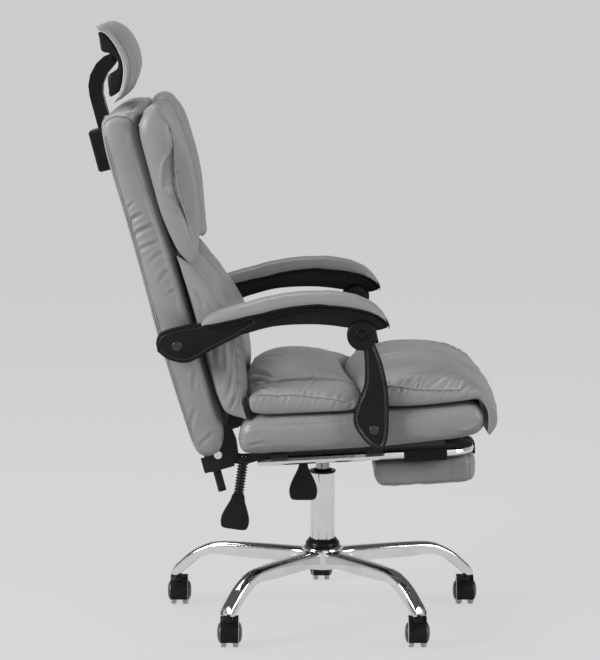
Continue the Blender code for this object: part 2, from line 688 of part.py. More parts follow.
def build_column(model, lift):
    """Build the gas lift: tube, hub collar, guide bush and piston."""
    outer = COLUMN_DIAMETER / 2
    inner = outer - COLUMN_WALL
    tube = [(outer, COLUMN_TOP), (outer, COLUMN_BOTTOM), (inner, COLUMN_BOTTOM), (inner, COLUMN_TOP)]
    smooth_shading(solid("column_tube", turned_mesh("column_tube", tube, closed=True), CHROME, model))

    seat = HUB_BOTTOM + HUB_HEIGHT + FIT
    bore = bore_radius(COLUMN_DIAMETER)
    collar = [(COLLAR_TOP_DIAMETER / 2, seat + COLLAR_HEIGHT), (COLLAR_DIAMETER / 2, seat + OVERRUN),
              (COLLAR_DIAMETER / 2, seat), (bore, seat), (bore, seat + COLLAR_HEIGHT)]
    smooth_shading(solid("column_collar", turned_mesh("column_collar", collar, closed=True), PLASTIC,
                         model))

    sleeve = inner - BORE_FIT
    bore = bore_radius(PISTON_DIAMETER)
    flange = COLUMN_TOP + FIT
    flange_radius = BUSH_FLANGE_DIAMETER / 2
    bush = [(flange_radius - RUNNING_GAP, flange + BUSH_FLANGE_HEIGHT),
            (flange_radius, flange + BUSH_FLANGE_HEIGHT - RUNNING_GAP),
            (flange_radius, flange), (sleeve, flange), (sleeve, flange - BUSH_DEPTH),
            (bore, flange - BUSH_DEPTH), (bore, flange + BUSH_FLANGE_HEIGHT)]
    smooth_shading(solid("column_bush", turned_mesh("column_bush", bush, closed=True), PLASTIC, model))

    piston = rod_mesh("gas_piston", (0, 0, PISTON_BOTTOM), (0, 0, piston_top()), PISTON_DIAMETER)
    smooth_shading(solid("gas_piston", piston, PISTON_STEEL, lift))


def piston_top():
    """Return the height of the piston's upper end, inside the pan's socket."""
    return SEAT_HEIGHT - PAN_DEPTH + PAN_SOCKET_DEPTH


def wheel_mesh():
    """Return a caster wheel turned about Y, its inner face at zero and its cap towards +Y."""
    corner = WHEEL_RADIUS / math.cos(math.pi / WHEEL_SIDES)
    bore = bore_radius(AXLE_DIAMETER, WHEEL_SIDES)
    crown = WHEEL_TREAD_WIDTH + WHEEL_CAP_DEPTH
    blind = WHEEL_TREAD_WIDTH + WHEEL_CAP_DEPTH * WHEEL_BORE_SHARE
    crown_radius, crown_height = WHEEL_CAP_CROWN_SHARES
    profile = [(0, crown), (WHEEL_CAP_RADIUS * crown_radius, WHEEL_TREAD_WIDTH + WHEEL_CAP_DEPTH * crown_height),
               (WHEEL_CAP_RADIUS, WHEEL_TREAD_WIDTH), (corner, WHEEL_TREAD_WIDTH), (corner, 0),
               (bore, 0), (bore, blind), (0, blind)]
    mesh = turned_mesh("wheel", profile, WHEEL_SIDES)
    facet = Matrix.Rotation(math.pi / WHEEL_SIDES, 4, "Z")
    mesh.transform(Matrix.Rotation(-QUARTER_TURN, 4, "X") @ facet)
    return mesh


def housing_mesh():
    """Return a caster's hood, web and stem; the origin is on the axle and the hood faces -X."""
    inner = WHEEL_RADIUS / math.cos(math.pi / WHEEL_SIDES) + HOOD_GAP
    outer = inner + HOOD_WALL
    axle = (0, 0)
    hood = arc(axle, outer, HOOD_REAR_ANGLE, HOOD_FRONT_ANGLE, HOOD_STEPS)
    hood += arc(axle, inner, HOOD_FRONT_ANGLE, HOOD_REAR_ANGLE, HOOD_STEPS)
    guide = bpy.data.objects.new("housing_guide", plate_mesh("hood", hood, -HOOD_WIDTH / 2, HOOD_WIDTH / 2))
    CUTTERS.objects.link(guide)
    web = arc(axle, (inner + outer) / 2, HOOD_REAR_ANGLE + WEB_INSET_ANGLE,
              HOOD_FRONT_ANGLE - WEB_INSET_ANGLE,
              HOOD_STEPS)
    web += arc(axle, WEB_EYE_RADIUS, HOOD_FRONT_ANGLE, HOOD_REAR_ANGLE + FULL_TURN, HOOD_STEPS)
    join(guide, plate_mesh("web", web, -WEB_THICKNESS / 2, WEB_THICKNESS / 2))
    join(guide, rod_mesh("stem", (-CASTER_TRAIL, 0, inner - CASTER_TRAIL / 2),
                         (-CASTER_TRAIL, 0, stem_top() - WHEEL_RADIUS), STEM_DIAMETER, SMALL_SIDES))
    cut(guide, bore_mesh("axle_bore", (0, -WEB_THICKNESS, 0), (0, WEB_THICKNESS, 0), AXLE_DIAMETER,
                         SMALL_SIDES))
    result = evaluated_mesh(guide)
    bpy.data.objects.remove(guide, do_unlink=True)
    return result


def build_casters(model):
    """Build the five twin-wheel casters, all trailing the same way."""
    housing = housing_mesh()
    wheel = wheel_mesh()
    reach = WHEEL_GAP / 2 + WHEEL_TREAD_WIDTH + WHEEL_CAP_DEPTH / 4
    axle = rod_mesh("axle", (0, -reach, 0), (0, reach, 0), AXLE_DIAMETER, SMALL_SIDES)
    for i in range(LEG_COUNT):
        turn = LEG_FIRST_ANGLE + FULL_TURN * i / LEG_COUNT
        stem = (LEG_REACH * math.cos(turn), LEG_REACH * math.sin(turn), 0)
        name = "caster_" + str(i + 1)
        swivel = frame(name, model, stem, (0, 0, QUARTER_TURN))
        hub = frame(name + "_hub", swivel, (CASTER_TRAIL, 0, WHEEL_RADIUS))
        smooth_shading(solid(name + "_housing", housing, PLASTIC, hub))
        smooth_shading(solid(name + "_axle", axle, CHROME, hub))
        for letter, sign in (("a", 1), ("b", -1)):
            turned = (0, 0, 0) if sign > 0 else (0, 0, HALF_TURN)
            piece = solid(name + "_wheel_" + letter, wheel, TREAD, hub, (0, sign * WHEEL_GAP / 2, 0),
                          turned)
            smooth_shading(piece)


def frame_top():
    """Return the height of the seat frame's upper faces under the seat."""
    return -FIT


def rail_bottom():
    """Return the height of the rails' lower faces."""
    return frame_top() - RAIL_DEPTH


def ear_place():
    """Return the distance of a link ear from the middle of the chair."""
    return CUSHION_WIDTH / 2 - EAR_INSET


def link_inner():
    """Return the distance of a link's inner face from the middle of the chair."""
    return CUSHION_WIDTH / 2 + LINK_SIDE_GAP


def arm_inner():
    """Return the distance of an arm frame's inner face from the middle of the chair."""
    return link_inner() + LINK_THICKNESS + RUNNING_GAP


def seat_box_mesh(growth=0.0):
    """Return the box cushion, or a cutter that is larger by the growth on every side."""
    outline = scaled(SEAT_OUTLINE_SHARES, SEAT_LENGTH, SEAT_DEPTH, (-SEAT_REAR, 0))
    return cushion_mesh("seat_box", outline, CUSHION_WIDTH, SEAT_EDGE, BOX_STATIONS, growth=growth)


def build_seat_frame(seat):
    """Build the steel frame: pan, rails, recline cheeks and link ears as one weldment."""
    top = frame_top()
    low = rail_bottom()
    ear = ear_place()
    pan_front = PAN_LENGTH - PAN_REAR
    pan = box_mesh("pan", (-PAN_REAR, -PAN_WIDTH / 2, top - PAN_DEPTH), (pan_front, PAN_WIDTH / 2, top))
    steel = solid("seat_frame", pan, BLACK_STEEL, seat)
    for middle in (-CROSS_RAIL_REAR, LINK_PIVOT_X):
        join(steel, box_mesh("cross_rail", (middle - RAIL_WIDTH / 2, -ear - EAR_THICKNESS / 2, low),
                             (middle + RAIL_WIDTH / 2, ear + EAR_THICKNESS / 2, top)))
    cheek_start = CROSS_RAIL_REAR + RAIL_WIDTH / 2
    cheek = arc((-RECLINE_BACK, RECLINE_RISE), CHEEK_EYE_RADIUS, CHEEK_ARC_START, CHEEK_ARC_END,
                CHEEK_STEPS)
    cheek += [(-RECLINE_LEVER_BACK, low - CHEEK_EYE_RADIUS), (-cheek_start, low), (-cheek_start, top),
              (-RECLINE_LEVER_BACK - EAR_THICKNESS, top)]
    socket = piston_top() + FIT - SEAT_HEIGHT
    boss_end = link_inner() - RUNNING_GAP
    for side, sign in RIGHT_AND_LEFT:
        rail_y = sign * RAIL_SPREAD
        join(steel, box_mesh("rail", (-RAIL_REAR, rail_y - RAIL_WIDTH / 2, low),
                             (RAIL_FRONT, rail_y + RAIL_WIDTH / 2, top)))
        cheek_y = sign * CHEEK_CENTRE
        join(steel, plate_mesh("cheek", cheek, cheek_y - CHEEK_THICKNESS / 2,
                               cheek_y + CHEEK_THICKNESS / 2))
        join(steel, box_mesh("ear", (LINK_PIVOT_X - EAR_WIDTH / 2, sign * ear - EAR_THICKNESS / 2, low),
                             (LINK_PIVOT_X + EAR_WIDTH / 2, sign * ear + EAR_THICKNESS / 2,
                              LINK_PIVOT_RISE + EAR_BOSS_DIAMETER / 2)))
        join(steel, rod_mesh("boss", (LINK_PIVOT_X, sign * ear, LINK_PIVOT_RISE),
                             (LINK_PIVOT_X, sign * boss_end, LINK_PIVOT_RISE), EAR_BOSS_DIAMETER, SMALL_SIDES))
        cut(steel, bore_mesh("bolt_bore", (LINK_PIVOT_X, sign * (boss_end - LINK_BOLT_GRIP - FIT),
                                           LINK_PIVOT_RISE),
                             (LINK_PIVOT_X, sign * (boss_end + OVERRUN), LINK_PIVOT_RISE),
                             LINK_BOLT_DIAMETER, SMALL_SIDES))
    width = CHEEK_CENTRE + CHEEK_THICKNESS
    cut(steel, bore_mesh("shaft_bore", (-RECLINE_BACK, -width, RECLINE_RISE),
                         (-RECLINE_BACK, width, RECLINE_RISE),
                         RECLINE_SHAFT_DIAMETER))
    cut(steel, bore_mesh("lever_bore", (-RECLINE_LEVER_BACK, -width, -RECLINE_LEVER_DROP),
                         (-RECLINE_LEVER_BACK, -CHEEK_CENTRE + CHEEK_THICKNESS, -RECLINE_LEVER_DROP),
                         RECLINE_LEVER_DIAMETER, SMALL_SIDES))
    cut(steel, bore_mesh("socket", (0, 0, -SEAT_HEIGHT), (0, 0, socket), PISTON_DIAMETER),
        rotation=(0, SEAT_TILT, 0))
    slot_side = LIFT_LEVER_DIAMETER / 2 + BORE_FIT
    slot_rise = LIFT_LEVER_DIAMETER / 2 + LEVER_SLOT_PLAY
    cut(steel, box_mesh("lever_slot",
                        (-LIFT_LEVER_BACK - slot_side, -PAN_WIDTH / 2 - OVERRUN,
                         -LIFT_LEVER_DROP - slot_rise),
                        (-LIFT_LEVER_BACK + slot_side, -PAN_WIDTH / 2 + LIFT_LEVER_INSET + LEVER_SLOT_PLAY,
                         -LIFT_LEVER_DROP + slot_rise)))


def build_seat(seat):
    """Build the seat board, the box cushion and the two pads on it."""
    half = CUSHION_WIDTH / 2 - SEAT_BOARD_MARGIN
    low = (SEAT_BOARD_MARGIN - SEAT_REAR, -half, 0)
    high = (SEAT_LENGTH - SEAT_REAR - SEAT_BOARD_SETBACK, half, SEAT_BOARD_THICKNESS)
    solid("seat_board", box_mesh("seat_board", low, high), PLYWOOD, seat)

    cushion = solid("seat_cushion", seat_box_mesh(), LEATHER, seat)
    cut(cushion, box_mesh("board_recess", (low[0] - FIT, low[1] - FIT, -OVERRUN),
                          (high[0] + FIT, high[1] + FIT, high[2] + FIT)))
    for side, sign in RIGHT_AND_LEFT:
        ear = sign * ear_place()
        reach = EAR_THICKNESS / 2 + FIT
        cut(cushion, box_mesh("ear_slot", (LINK_PIVOT_X - EAR_WIDTH / 2 - FIT, ear - reach, -OVERRUN),
                              (LINK_PIVOT_X + EAR_WIDTH / 2 + FIT, ear + reach,
                               LINK_PIVOT_RISE + EAR_BOSS_DIAMETER / 2 + FIT)))
        cut(cushion, bore_mesh("boss_hole", (LINK_PIVOT_X, ear, LINK_PIVOT_RISE),
                               (LINK_PIVOT_X, sign * (CUSHION_WIDTH / 2 + OVERRUN), LINK_PIVOT_RISE),
                               EAR_BOSS_DIAMETER))
    smooth_shading(cushion)

    outline = scaled(REAR_PAD_SHARES, REAR_PAD_LENGTH, REAR_PAD_THICKNESS,
                     (-REAR_PAD_REAR, SEAT_DEPTH + FIT))
    rear = solid("seat_pad_rear", cushion_mesh("rear_pad", outline, PAD_WIDTH, PAD_EDGE, PAD_STATIONS),
                 LEATHER, seat)
    soften(rear)
    smooth_shading(rear)

    outline = scaled(FRONT_PAD_SHARES, FRONT_PAD_LENGTH, FRONT_PAD_HEIGHT,
                     (FRONT_PAD_START, -FRONT_PAD_BOTTOM))
    front = solid("seat_pad_front",
                  cushion_mesh("front_pad", outline, PAD_WIDTH, PAD_EDGE,
                               FRONT_PAD_STATIONS), LEATHER, seat)
    soften(front)
    cut(front, seat_box_mesh(FIT))
    smooth_shading(front)


def build_lift_lever(seat):
    """Build the gas-lift lever and its paddle, hinged on the pan's right side."""
    lever = frame("lift_lever_axis", seat, (-LIFT_LEVER_BACK, -PAN_WIDTH / 2, -LIFT_LEVER_DROP),
                  (0, SEAT_TILT, 0))
    paddle_y = PAN_WIDTH / 2 - LIFT_PADDLE_Y
    tip = paddle_y - PADDLE_THICKNESS / 4
    rod = rod_mesh("lift_lever", (0, LIFT_LEVER_INSET, 0), (0, tip, 0), LIFT_LEVER_DIAMETER, SMALL_SIDES)
    smooth_shading(solid("lift_lever", rod, BLACK_STEEL, lever))
    outline = scaled(LIFT_PADDLE_SHARES, LIFT_PADDLE_WIDTH, LIFT_PADDLE_DROP)
    paddle = solid("lift_paddle", plate_mesh("lift_paddle", outline, paddle_y - PADDLE_THICKNESS / 2,
                                             paddle_y + PADDLE_THICKNESS / 2), PLASTIC, lever)
    cut(paddle, bore_mesh("rod_bore", (0, tip - FIT, 0), (0, paddle_y + PADDLE_THICKNESS, 0),
                          LIFT_LEVER_DIAMETER, SMALL_SIDES))


def build_recline_lever(seat):
    """Build the recline lever with its ribbed sleeve and paddle, hinged on the right cheek."""
    lever = frame("recline_lever_axis", seat, (-RECLINE_LEVER_BACK, 0, -RECLINE_LEVER_DROP),
                  (0, SEAT_TILT + RECLINE_LEVER_TILT, 0))
    start = CHEEK_CENTRE - CHEEK_THICKNESS
    bend = RECLINE_LEVER_BEND
    turn = arc((bend - RECLINE_LEVER_Y, -bend), bend, QUARTER_TURN, HALF_TURN, LEVER_BEND_STEPS)
    route = [(0, -start, 0)] + [(0, y, z) for y, z in turn] + [(0, -RECLINE_LEVER_Y, -RECLINE_LEVER_LENGTH)]
    rod = tube_mesh("recline_lever", route, RECLINE_LEVER_DIAMETER)
    smooth_shading(solid("recline_lever", rod, BLACK_STEEL, lever))

    outer = SLEEVE_DIAMETER / 2
    bore = bore_radius(RECLINE_LEVER_DIAMETER, SLEEVE_SIDES)
    pitch = SLEEVE_LENGTH / (2 * SLEEVE_RIBS)
    profile = [(outer - SLEEVE_GROOVE * (i % 2), -SLEEVE_START - pitch * i) for i in range(2 * SLEEVE_RIBS + 1)]
    profile += [(bore, -SLEEVE_START - SLEEVE_LENGTH), (bore, -SLEEVE_START)]
    sleeve = solid("recline_sleeve", turned_mesh("recline_sleeve", profile, SLEEVE_SIDES, closed=True),
                   RUBBER, lever, (0, -RECLINE_LEVER_Y, 0))
    smooth_shading(sleeve)

    top = -SLEEVE_START - SLEEVE_LENGTH - FIT
    outline = scaled(RECLINE_PADDLE_SHARES, RECLINE_PADDLE_WIDTH, RECLINE_PADDLE_DROP, (0, top))
    half = PADDLE_THICKNESS / 2
    paddle = solid("recline_paddle", plate_mesh("recline_paddle", outline, -RECLINE_LEVER_Y - half,
                                                half - RECLINE_LEVER_Y), PLASTIC, lever)
    cut(paddle, bore_mesh("rod_bore", (0, -RECLINE_LEVER_Y, -RECLINE_LEVER_LENGTH - FIT),
                          (0, -RECLINE_LEVER_Y, top + OVERRUN), RECLINE_LEVER_DIAMETER, SMALL_SIDES))


def back_plate_side():
    """Return the distance of a back plate's outer face from the middle of the chair."""
    return BACK_PLATE_CENTRE + BACK_PLATE_THICKNESS / 2


def back_boss_end():
    """Return the distance of a back boss's outer end from the middle of the chair."""
    return CUSHION_WIDTH / 2 - RUNNING_GAP


def build_back_frame(back):
    """Build the back's steel frame: side plates, cross bar, tail post, arm bosses and the recline shaft."""
    side_face = back_plate_side()
    tail = -BACK_TAIL_REAR
    tail_top = BACK_TAIL_TOP_SHARE * BACK_TAIL_REAR
    outline = [(tail, CROSS_BAR_DEPTH / 2 - BACK_TAIL_DROP)]
    outline += scaled(BACK_NECK_SHARES, BACK_NECK_FRONT, BACK_NECK_RISE)
    outline += [(BACK_PLATE_FRONT, BACK_NECK_RISE), (BACK_PLATE_FRONT, BACK_PLATE_HEIGHT),
                (-BACK_PLATE_REAR, BACK_PLATE_HEIGHT), (-BACK_PLATE_REAR, tail_top), (tail, tail_top)]
    bar_low = RUNNING_GAP - BACK_TAIL_DROP
    bar = box_mesh("cross_bar", (tail + RUNNING_GAP, -side_face, bar_low),
                   (tail + RUNNING_GAP + CROSS_BAR_WIDTH, side_face, bar_low + CROSS_BAR_DEPTH))
    steel = solid("back_frame", bar, BLACK_STEEL, back)
    join(steel, rod_mesh("tail_post", (-TAIL_POST_BACK, -TAIL_POST_CENTRE, bar_low + CROSS_BAR_DEPTH),
                         (-TAIL_POST_BACK, -TAIL_POST_CENTRE, -TAIL_POST_LENGTH), TAIL_POST_DIAMETER))
    for side, sign in RIGHT_AND_LEFT:
        middle = sign * BACK_PLATE_CENTRE
        join(steel, plate_mesh("side_plate", outline, middle - BACK_PLATE_THICKNESS / 2,
                               middle + BACK_PLATE_THICKNESS / 2))
        pivot = (-ARM_PIVOT_BACK, ARM_PIVOT_HEIGHT)
        join(steel, rod_mesh("arm_boss", (pivot[0], middle, pivot[1]),
                             (pivot[0], sign * back_boss_end(), pivot[1]),
                             BACK_BOSS_DIAMETER, SMALL_SIDES))
        cut(steel, bore_mesh("bolt_bore", (pivot[0], sign * (back_boss_end() - ARM_BOLT_GRIP - FIT),
                                           pivot[1]),
                             (pivot[0], sign * (back_boss_end() + OVERRUN), pivot[1]),
                             LINK_BOLT_DIAMETER, SMALL_SIDES))
    cut(steel, bore_mesh("shaft_bore", (0, -side_face - OVERRUN, 0), (0, side_face + OVERRUN, 0),
                         RECLINE_SHAFT_DIAMETER))

    end = side_face + FIT
    shaft = solid("recline_shaft", rod_mesh("recline_shaft", (0, -end, 0), (0, end, 0),
                                            RECLINE_SHAFT_DIAMETER),
                  CHROME, back)
    for side, sign in RIGHT_AND_LEFT:
        join(shaft, rod_mesh("shaft_head", (0, sign * end, 0), (0, sign * (end + SHAFT_HEAD_HEIGHT), 0),
                             SHAFT_HEAD_DIAMETER))


def build_back(back):
    """Build the back cushion and its two pillows."""
    outline = scaled(BACK_OUTLINE_SHARES, BACK_THICKNESS, BACK_HEIGHT,
                     (BACK_FRONT - BACK_THICKNESS, BACK_BOTTOM))
    body = solid("back_cushion", cushion_mesh("back", outline, CUSHION_WIDTH, BACK_EDGE, BOX_STATIONS,
                                              upright=True),
                 LEATHER, back)
    reach = CUSHION_WIDTH / 2 + OVERRUN
    cut(body, bore_mesh("shaft_groove", (0, -reach, 0), (0, reach, 0), SHAFT_HEAD_DIAMETER))
    slot = BACK_PLATE_THICKNESS / 2 + FIT
    notch = CHEEK_THICKNESS / 2 + RUNNING_GAP
    for side, sign in RIGHT_AND_LEFT:
        middle = sign * BACK_PLATE_CENTRE
        cut(body, box_mesh("plate_slot", (-BACK_PLATE_REAR - FIT, middle - slot, BACK_BOTTOM - OVERRUN),
                           (BACK_FRONT + OVERRUN, middle + slot, BACK_PLATE_HEIGHT + FIT)))
        cut(body, bore_mesh("boss_hole", (-ARM_PIVOT_BACK, middle, ARM_PIVOT_HEIGHT),
                            (-ARM_PIVOT_BACK, sign * reach, ARM_PIVOT_HEIGHT), BACK_BOSS_DIAMETER))
        eye = sign * CHEEK_CENTRE
        cut(body, bore_mesh("cheek_notch", (0, eye - notch, 0), (0, eye + notch, 0),
                            2 * (CHEEK_EYE_RADIUS + RUNNING_GAP)))
    smooth_shading(body)

    pillows = (("upper_pillow", UPPER_PILLOW_SHARES, UPPER_PILLOW_THICKNESS, UPPER_PILLOW_HEIGHT,
                UPPER_PILLOW_BOTTOM, UPPER_PILLOW_STATIONS),
               ("lumbar_pillow", LUMBAR_SHARES, LUMBAR_THICKNESS, LUMBAR_HEIGHT, LUMBAR_BOTTOM,
                LUMBAR_STATIONS))
    for name, shares, thickness, height, bottom, stations in pillows:
        outline = scaled(shares, thickness, height, (BACK_FRONT, bottom))
        pillow = solid(name, cushion_mesh(name, outline, PILLOW_WIDTH, PILLOW_EDGE, stations, upright=True),
                       LEATHER, back)
        soften(pillow)
        cut(pillow, box_mesh("flat_back", (BACK_FRONT - BACK_THICKNESS, -reach, bottom - BACK_THICKNESS),
                             (BACK_FRONT + FIT, reach, bottom + height + BACK_THICKNESS)))
        smooth_shading(pillow)


def build_headrest(back):
    """Build the headrest: mount, sliding bar and curved arm, tilting shell and pad."""
    face = BACK_FRONT - BACK_THICKNESS - FIT
    mount_top = MOUNT_BOTTOM + MOUNT_HEIGHT
    mount = solid("headrest_mount", box_mesh("headrest_mount",
                                             (face - MOUNT_DEPTH, -MOUNT_WIDTH / 2, MOUNT_BOTTOM),
                                             (face, MOUNT_WIDTH / 2, mount_top)), PLASTIC, back)
    bar_front = face - SLIDER_FRONT_WALL
    bar_rear = bar_front - SLIDER_DEPTH
    half = SLIDER_WIDTH / 2
    bevel(mount, MOUNT_BEVEL)
    cut(mount, box_mesh("slider_slot", (bar_rear - FIT, -half - FIT, MOUNT_BOTTOM - OVERRUN),
                        (bar_front + FIT, half + FIT, mount_top + OVERRUN)))

    slider = frame("headrest_slider_frame", back)
    bar = solid("headrest_slider", box_mesh("headrest_slider", (bar_rear, -half, SLIDER_BOTTOM),
                                            (bar_front, half, SLIDER_TOP)), PLASTIC, slider)
    head_front = bar_rear + SLIDER_HEAD_DEPTH
    join(bar, box_mesh("slider_head", (bar_rear, -half, SLIDER_SHOULDER), (head_front, half, SLIDER_TOP)))

    pivot = (-HEAD_PIVOT_BACK, HEAD_PIVOT_HEIGHT)
    foot = (bar_rear, SLIDER_TOP + FIT)
    curve = scaled(HEAD_ARM_SHARES, pivot[0] - foot[0], pivot[1] - foot[1], foot)
    arm = solid("headrest_arm", plate_mesh("headrest_arm", curve, -half, half), PLASTIC, slider)
    pin = half + HEAD_EAR_THICKNESS + RUNNING_GAP
    join(arm, rod_mesh("barrel", (pivot[0], -half, pivot[1]), (pivot[0], half, pivot[1]),
                       2 * HEAD_BARREL_RADIUS))
    join(arm, rod_mesh("pin", (pivot[0], -pin, pivot[1]), (pivot[0], pin, pivot[1]), HEAD_PIN_DIAMETER,
                       SMALL_SIDES))

    head = frame("headrest_tilt", slider, (pivot[0], 0, pivot[1]))
    start = (HEAD_PAD_FRONT - HEAD_PAD_DEPTH, -HEAD_PAD_BOTTOM)
    front = scaled(HEAD_PAD_FRONT_SHARES, HEAD_PAD_DEPTH, HEAD_PAD_HEIGHT, start)
    rear = scaled(HEAD_PAD_REAR_SHARES, HEAD_PAD_DEPTH, HEAD_PAD_HEIGHT, start)
    shell_rear = [(x - HEAD_SHELL_WALL, z) for x, z in rear]
    shell = solid("headrest_shell", plate_mesh("headrest_shell", rear + shell_rear[::-1],
                                               -HEAD_SHELL_WIDTH / 2,
                                               HEAD_SHELL_WIDTH / 2), SHELL_PLASTIC, head)
    middle = max(x for x, z in shell_rear)
    for side, sign in RIGHT_AND_LEFT:
        near = sign * (half + RUNNING_GAP)
        far = sign * (half + RUNNING_GAP + HEAD_EAR_THICKNESS)
        ear = arc((0, 0), HEAD_EAR_RADIUS, QUARTER_TURN, HALF_TURN + QUARTER_TURN, EAR_STEPS)
        ear += [(middle + HEAD_SHELL_WALL / 2, -HEAD_EAR_RADIUS),
                (middle + HEAD_SHELL_WALL / 2, HEAD_EAR_RADIUS)]
        join(shell, plate_mesh("ear", ear, min(near, far), max(near, far)))
    cut(shell, bore_mesh("pin_bore", (0, -2 * pin, 0), (0, 2 * pin, 0), HEAD_PIN_DIAMETER, SMALL_SIDES))

    pad = solid("headrest_pad", cushion_mesh("headrest_pad", front + rear, HEAD_PAD_WIDTH, HEAD_PAD_EDGE,
                                             HEAD_PAD_STATIONS, upright=True), LEATHER, head)
    soften(pad)
    seat_line = [(x + 2 * FIT, z) for x, z in rear]
    behind = start[0] - HEAD_PAD_DEPTH
    rim = seat_line[0][1] + HEAD_PAD_EDGE
    base = seat_line[-1][1] - HEAD_PAD_EDGE
    cutter = [(start[0], rim)] + seat_line + [(start[0], base), (behind, base), (behind, rim)]
    cut(pad, plate_mesh("shell_cut", cutter, -HEAD_PAD_WIDTH, HEAD_PAD_WIDTH))
    smooth_shading(pad)


def build_arms(arm, seat):
    """Build the arm frames with their pads and rear bolts, and the links with their bolts."""
    front = (ARM_REACH, FRONT_PIVOT_HEIGHT_SHARE * ARM_HEIGHT)
    bpy.context.view_layer.update()
    joint = seat.matrix_world.inverted() @ arm.matrix_world @ Vector((front[0], 0, front[1]))
    run = joint - Vector((LINK_PIVOT_X, 0, LINK_PIVOT_RISE))
    link = frame("link_axis", seat, (LINK_PIVOT_X, 0, LINK_PIVOT_RISE), (0, math.atan2(run.x, run.z), 0))
    length = run.length

    outline = scaled(ARM_TOP_SHARES + ARM_BOTTOM_SHARES, ARM_REACH, ARM_HEIGHT)
    pad_outline = scaled(ARM_PAD_TOP_SHARES + ARM_PAD_UNDER_SHARES, ARM_REACH, ARM_HEIGHT)
    link_outline = scaled(LINK_REAR_SHARES + LINK_FRONT_SHARES, LINK_WIDTH, length)
    inner = arm_inner()
    outer = inner + ARM_THICKNESS
    link_outer = link_inner() + LINK_THICKNESS
    boss_start = back_boss_end() + ARM_BOSS_GAP
    recess = BOLT_HEAD_DIAMETER + 2 * RUNNING_GAP
    for side, sign in RIGHT_AND_LEFT:
        body = solid("arm_frame_" + side, plate_mesh("arm_frame", outline, sign * inner, sign * outer,
                                                     smooth=True),
                     PLASTIC, arm)
        join(body, rod_mesh("rear_boss", (0, sign * boss_start, 0), (0, sign * (inner + OVERRUN), 0),
                            ARM_BOSS_DIAMETER, SMALL_SIDES))
        join(body, rod_mesh("disc", (front[0], sign * inner, front[1]),
                            (front[0], sign * (outer + ARM_DISC_THICKNESS), front[1]), ARM_DISC_DIAMETER))
        join(body, rod_mesh("front_pin", (front[0], sign * (inner + OVERRUN), front[1]),
                            (front[0], sign * (link_inner() + RUNNING_GAP), front[1]), FRONT_PIN_DIAMETER,
                            SMALL_SIDES))
        cut(body, bore_mesh("bolt_bore", (0, sign * (boss_start - OVERRUN), 0),
                            (0, sign * (outer + OVERRUN), 0),
                            LINK_BOLT_DIAMETER, SMALL_SIDES))
        cut(body, rod_mesh("bolt_recess", (0, sign * (outer - BOLT_HEAD_HEIGHT), 0),
                           (0, sign * (outer + OVERRUN), 0), recess, SMALL_SIDES))
        smooth_shading(body)

        pad_centre = sign * (inner + outer) / 2
        pad_mesh = cushion_mesh("arm_pad", pad_outline, ARM_PAD_WIDTH, ARM_PAD_EDGE, ARM_PAD_STATIONS)
        pad_mesh.transform(Matrix.Translation((0, pad_centre, 0)))
        pad = solid("arm_pad_" + side, pad_mesh, LEATHER, arm)
        soften(pad)
        under = plate_mesh("arm_cut", outline, pad_centre - ARM_PAD_WIDTH, pad_centre + ARM_PAD_WIDTH,
                           smooth=True)
        under.transform(Matrix.Translation((0, 0, 2 * FIT)))
        cut(pad, under)
        smooth_shading(pad)

        plate = solid("arm_link_" + side, plate_mesh("arm_link", link_outline, sign * link_inner(),
                                                     sign * link_outer, smooth=True), PLASTIC, link)
        join(plate, rod_mesh("head", (0, sign * link_inner(), length), (0, sign * link_outer, length),
                             2 * LINK_HEAD_RADIUS))
        reach = sign * (link_inner() - OVERRUN)
        cut(plate, rod_mesh("pin_bore", (0, reach, length), (0, sign * (link_outer + OVERRUN), length),
                            FRONT_PIN_DIAMETER + 2 * FRONT_PIN_PLAY))
        cut(plate, bore_mesh("bolt_bore", (0, reach, 0), (0, sign * (link_outer + OVERRUN), 0),
                             LINK_BOLT_DIAMETER, SMALL_SIDES))
        cut(plate, rod_mesh("bolt_recess", (0, sign * (link_outer - BOLT_HEAD_HEIGHT), 0),
                            (0, sign * (link_outer + OVERRUN), 0), recess, SMALL_SIDES))
        smooth_shading(plate)

        build_bolt("arm_rear_bolt_" + side, arm.parent, (-ARM_PIVOT_BACK, ARM_PIVOT_HEIGHT), sign,
                   back_boss_end() - ARM_BOLT_GRIP, outer)
        build_bolt("link_bolt_" + side, seat, (LINK_PIVOT_X, LINK_PIVOT_RISE), sign,
                   link_inner() - RUNNING_GAP - LINK_BOLT_GRIP, link_outer)


def build_bolt(name, parent, place, sign, tip, face):
    """Build a pivot bolt whose head lies in the recess of an outer face."""
    seat = face - BOLT_HEAD_HEIGHT + FIT
    bolt = solid(name, rod_mesh(name, (place[0], sign * tip, place[1]),
                                (place[0], sign * (seat + OVERRUN / 2), place[1]),
                                LINK_BOLT_DIAMETER, SMALL_SIDES), CHROME, parent)
    join(bolt, rod_mesh("head", (place[0], sign * seat, place[1]),
                        (place[0], sign * (seat + BOLT_HEAD_HEIGHT - FIT), place[1]), BOLT_HEAD_DIAMETER,
                        SMALL_SIDES))


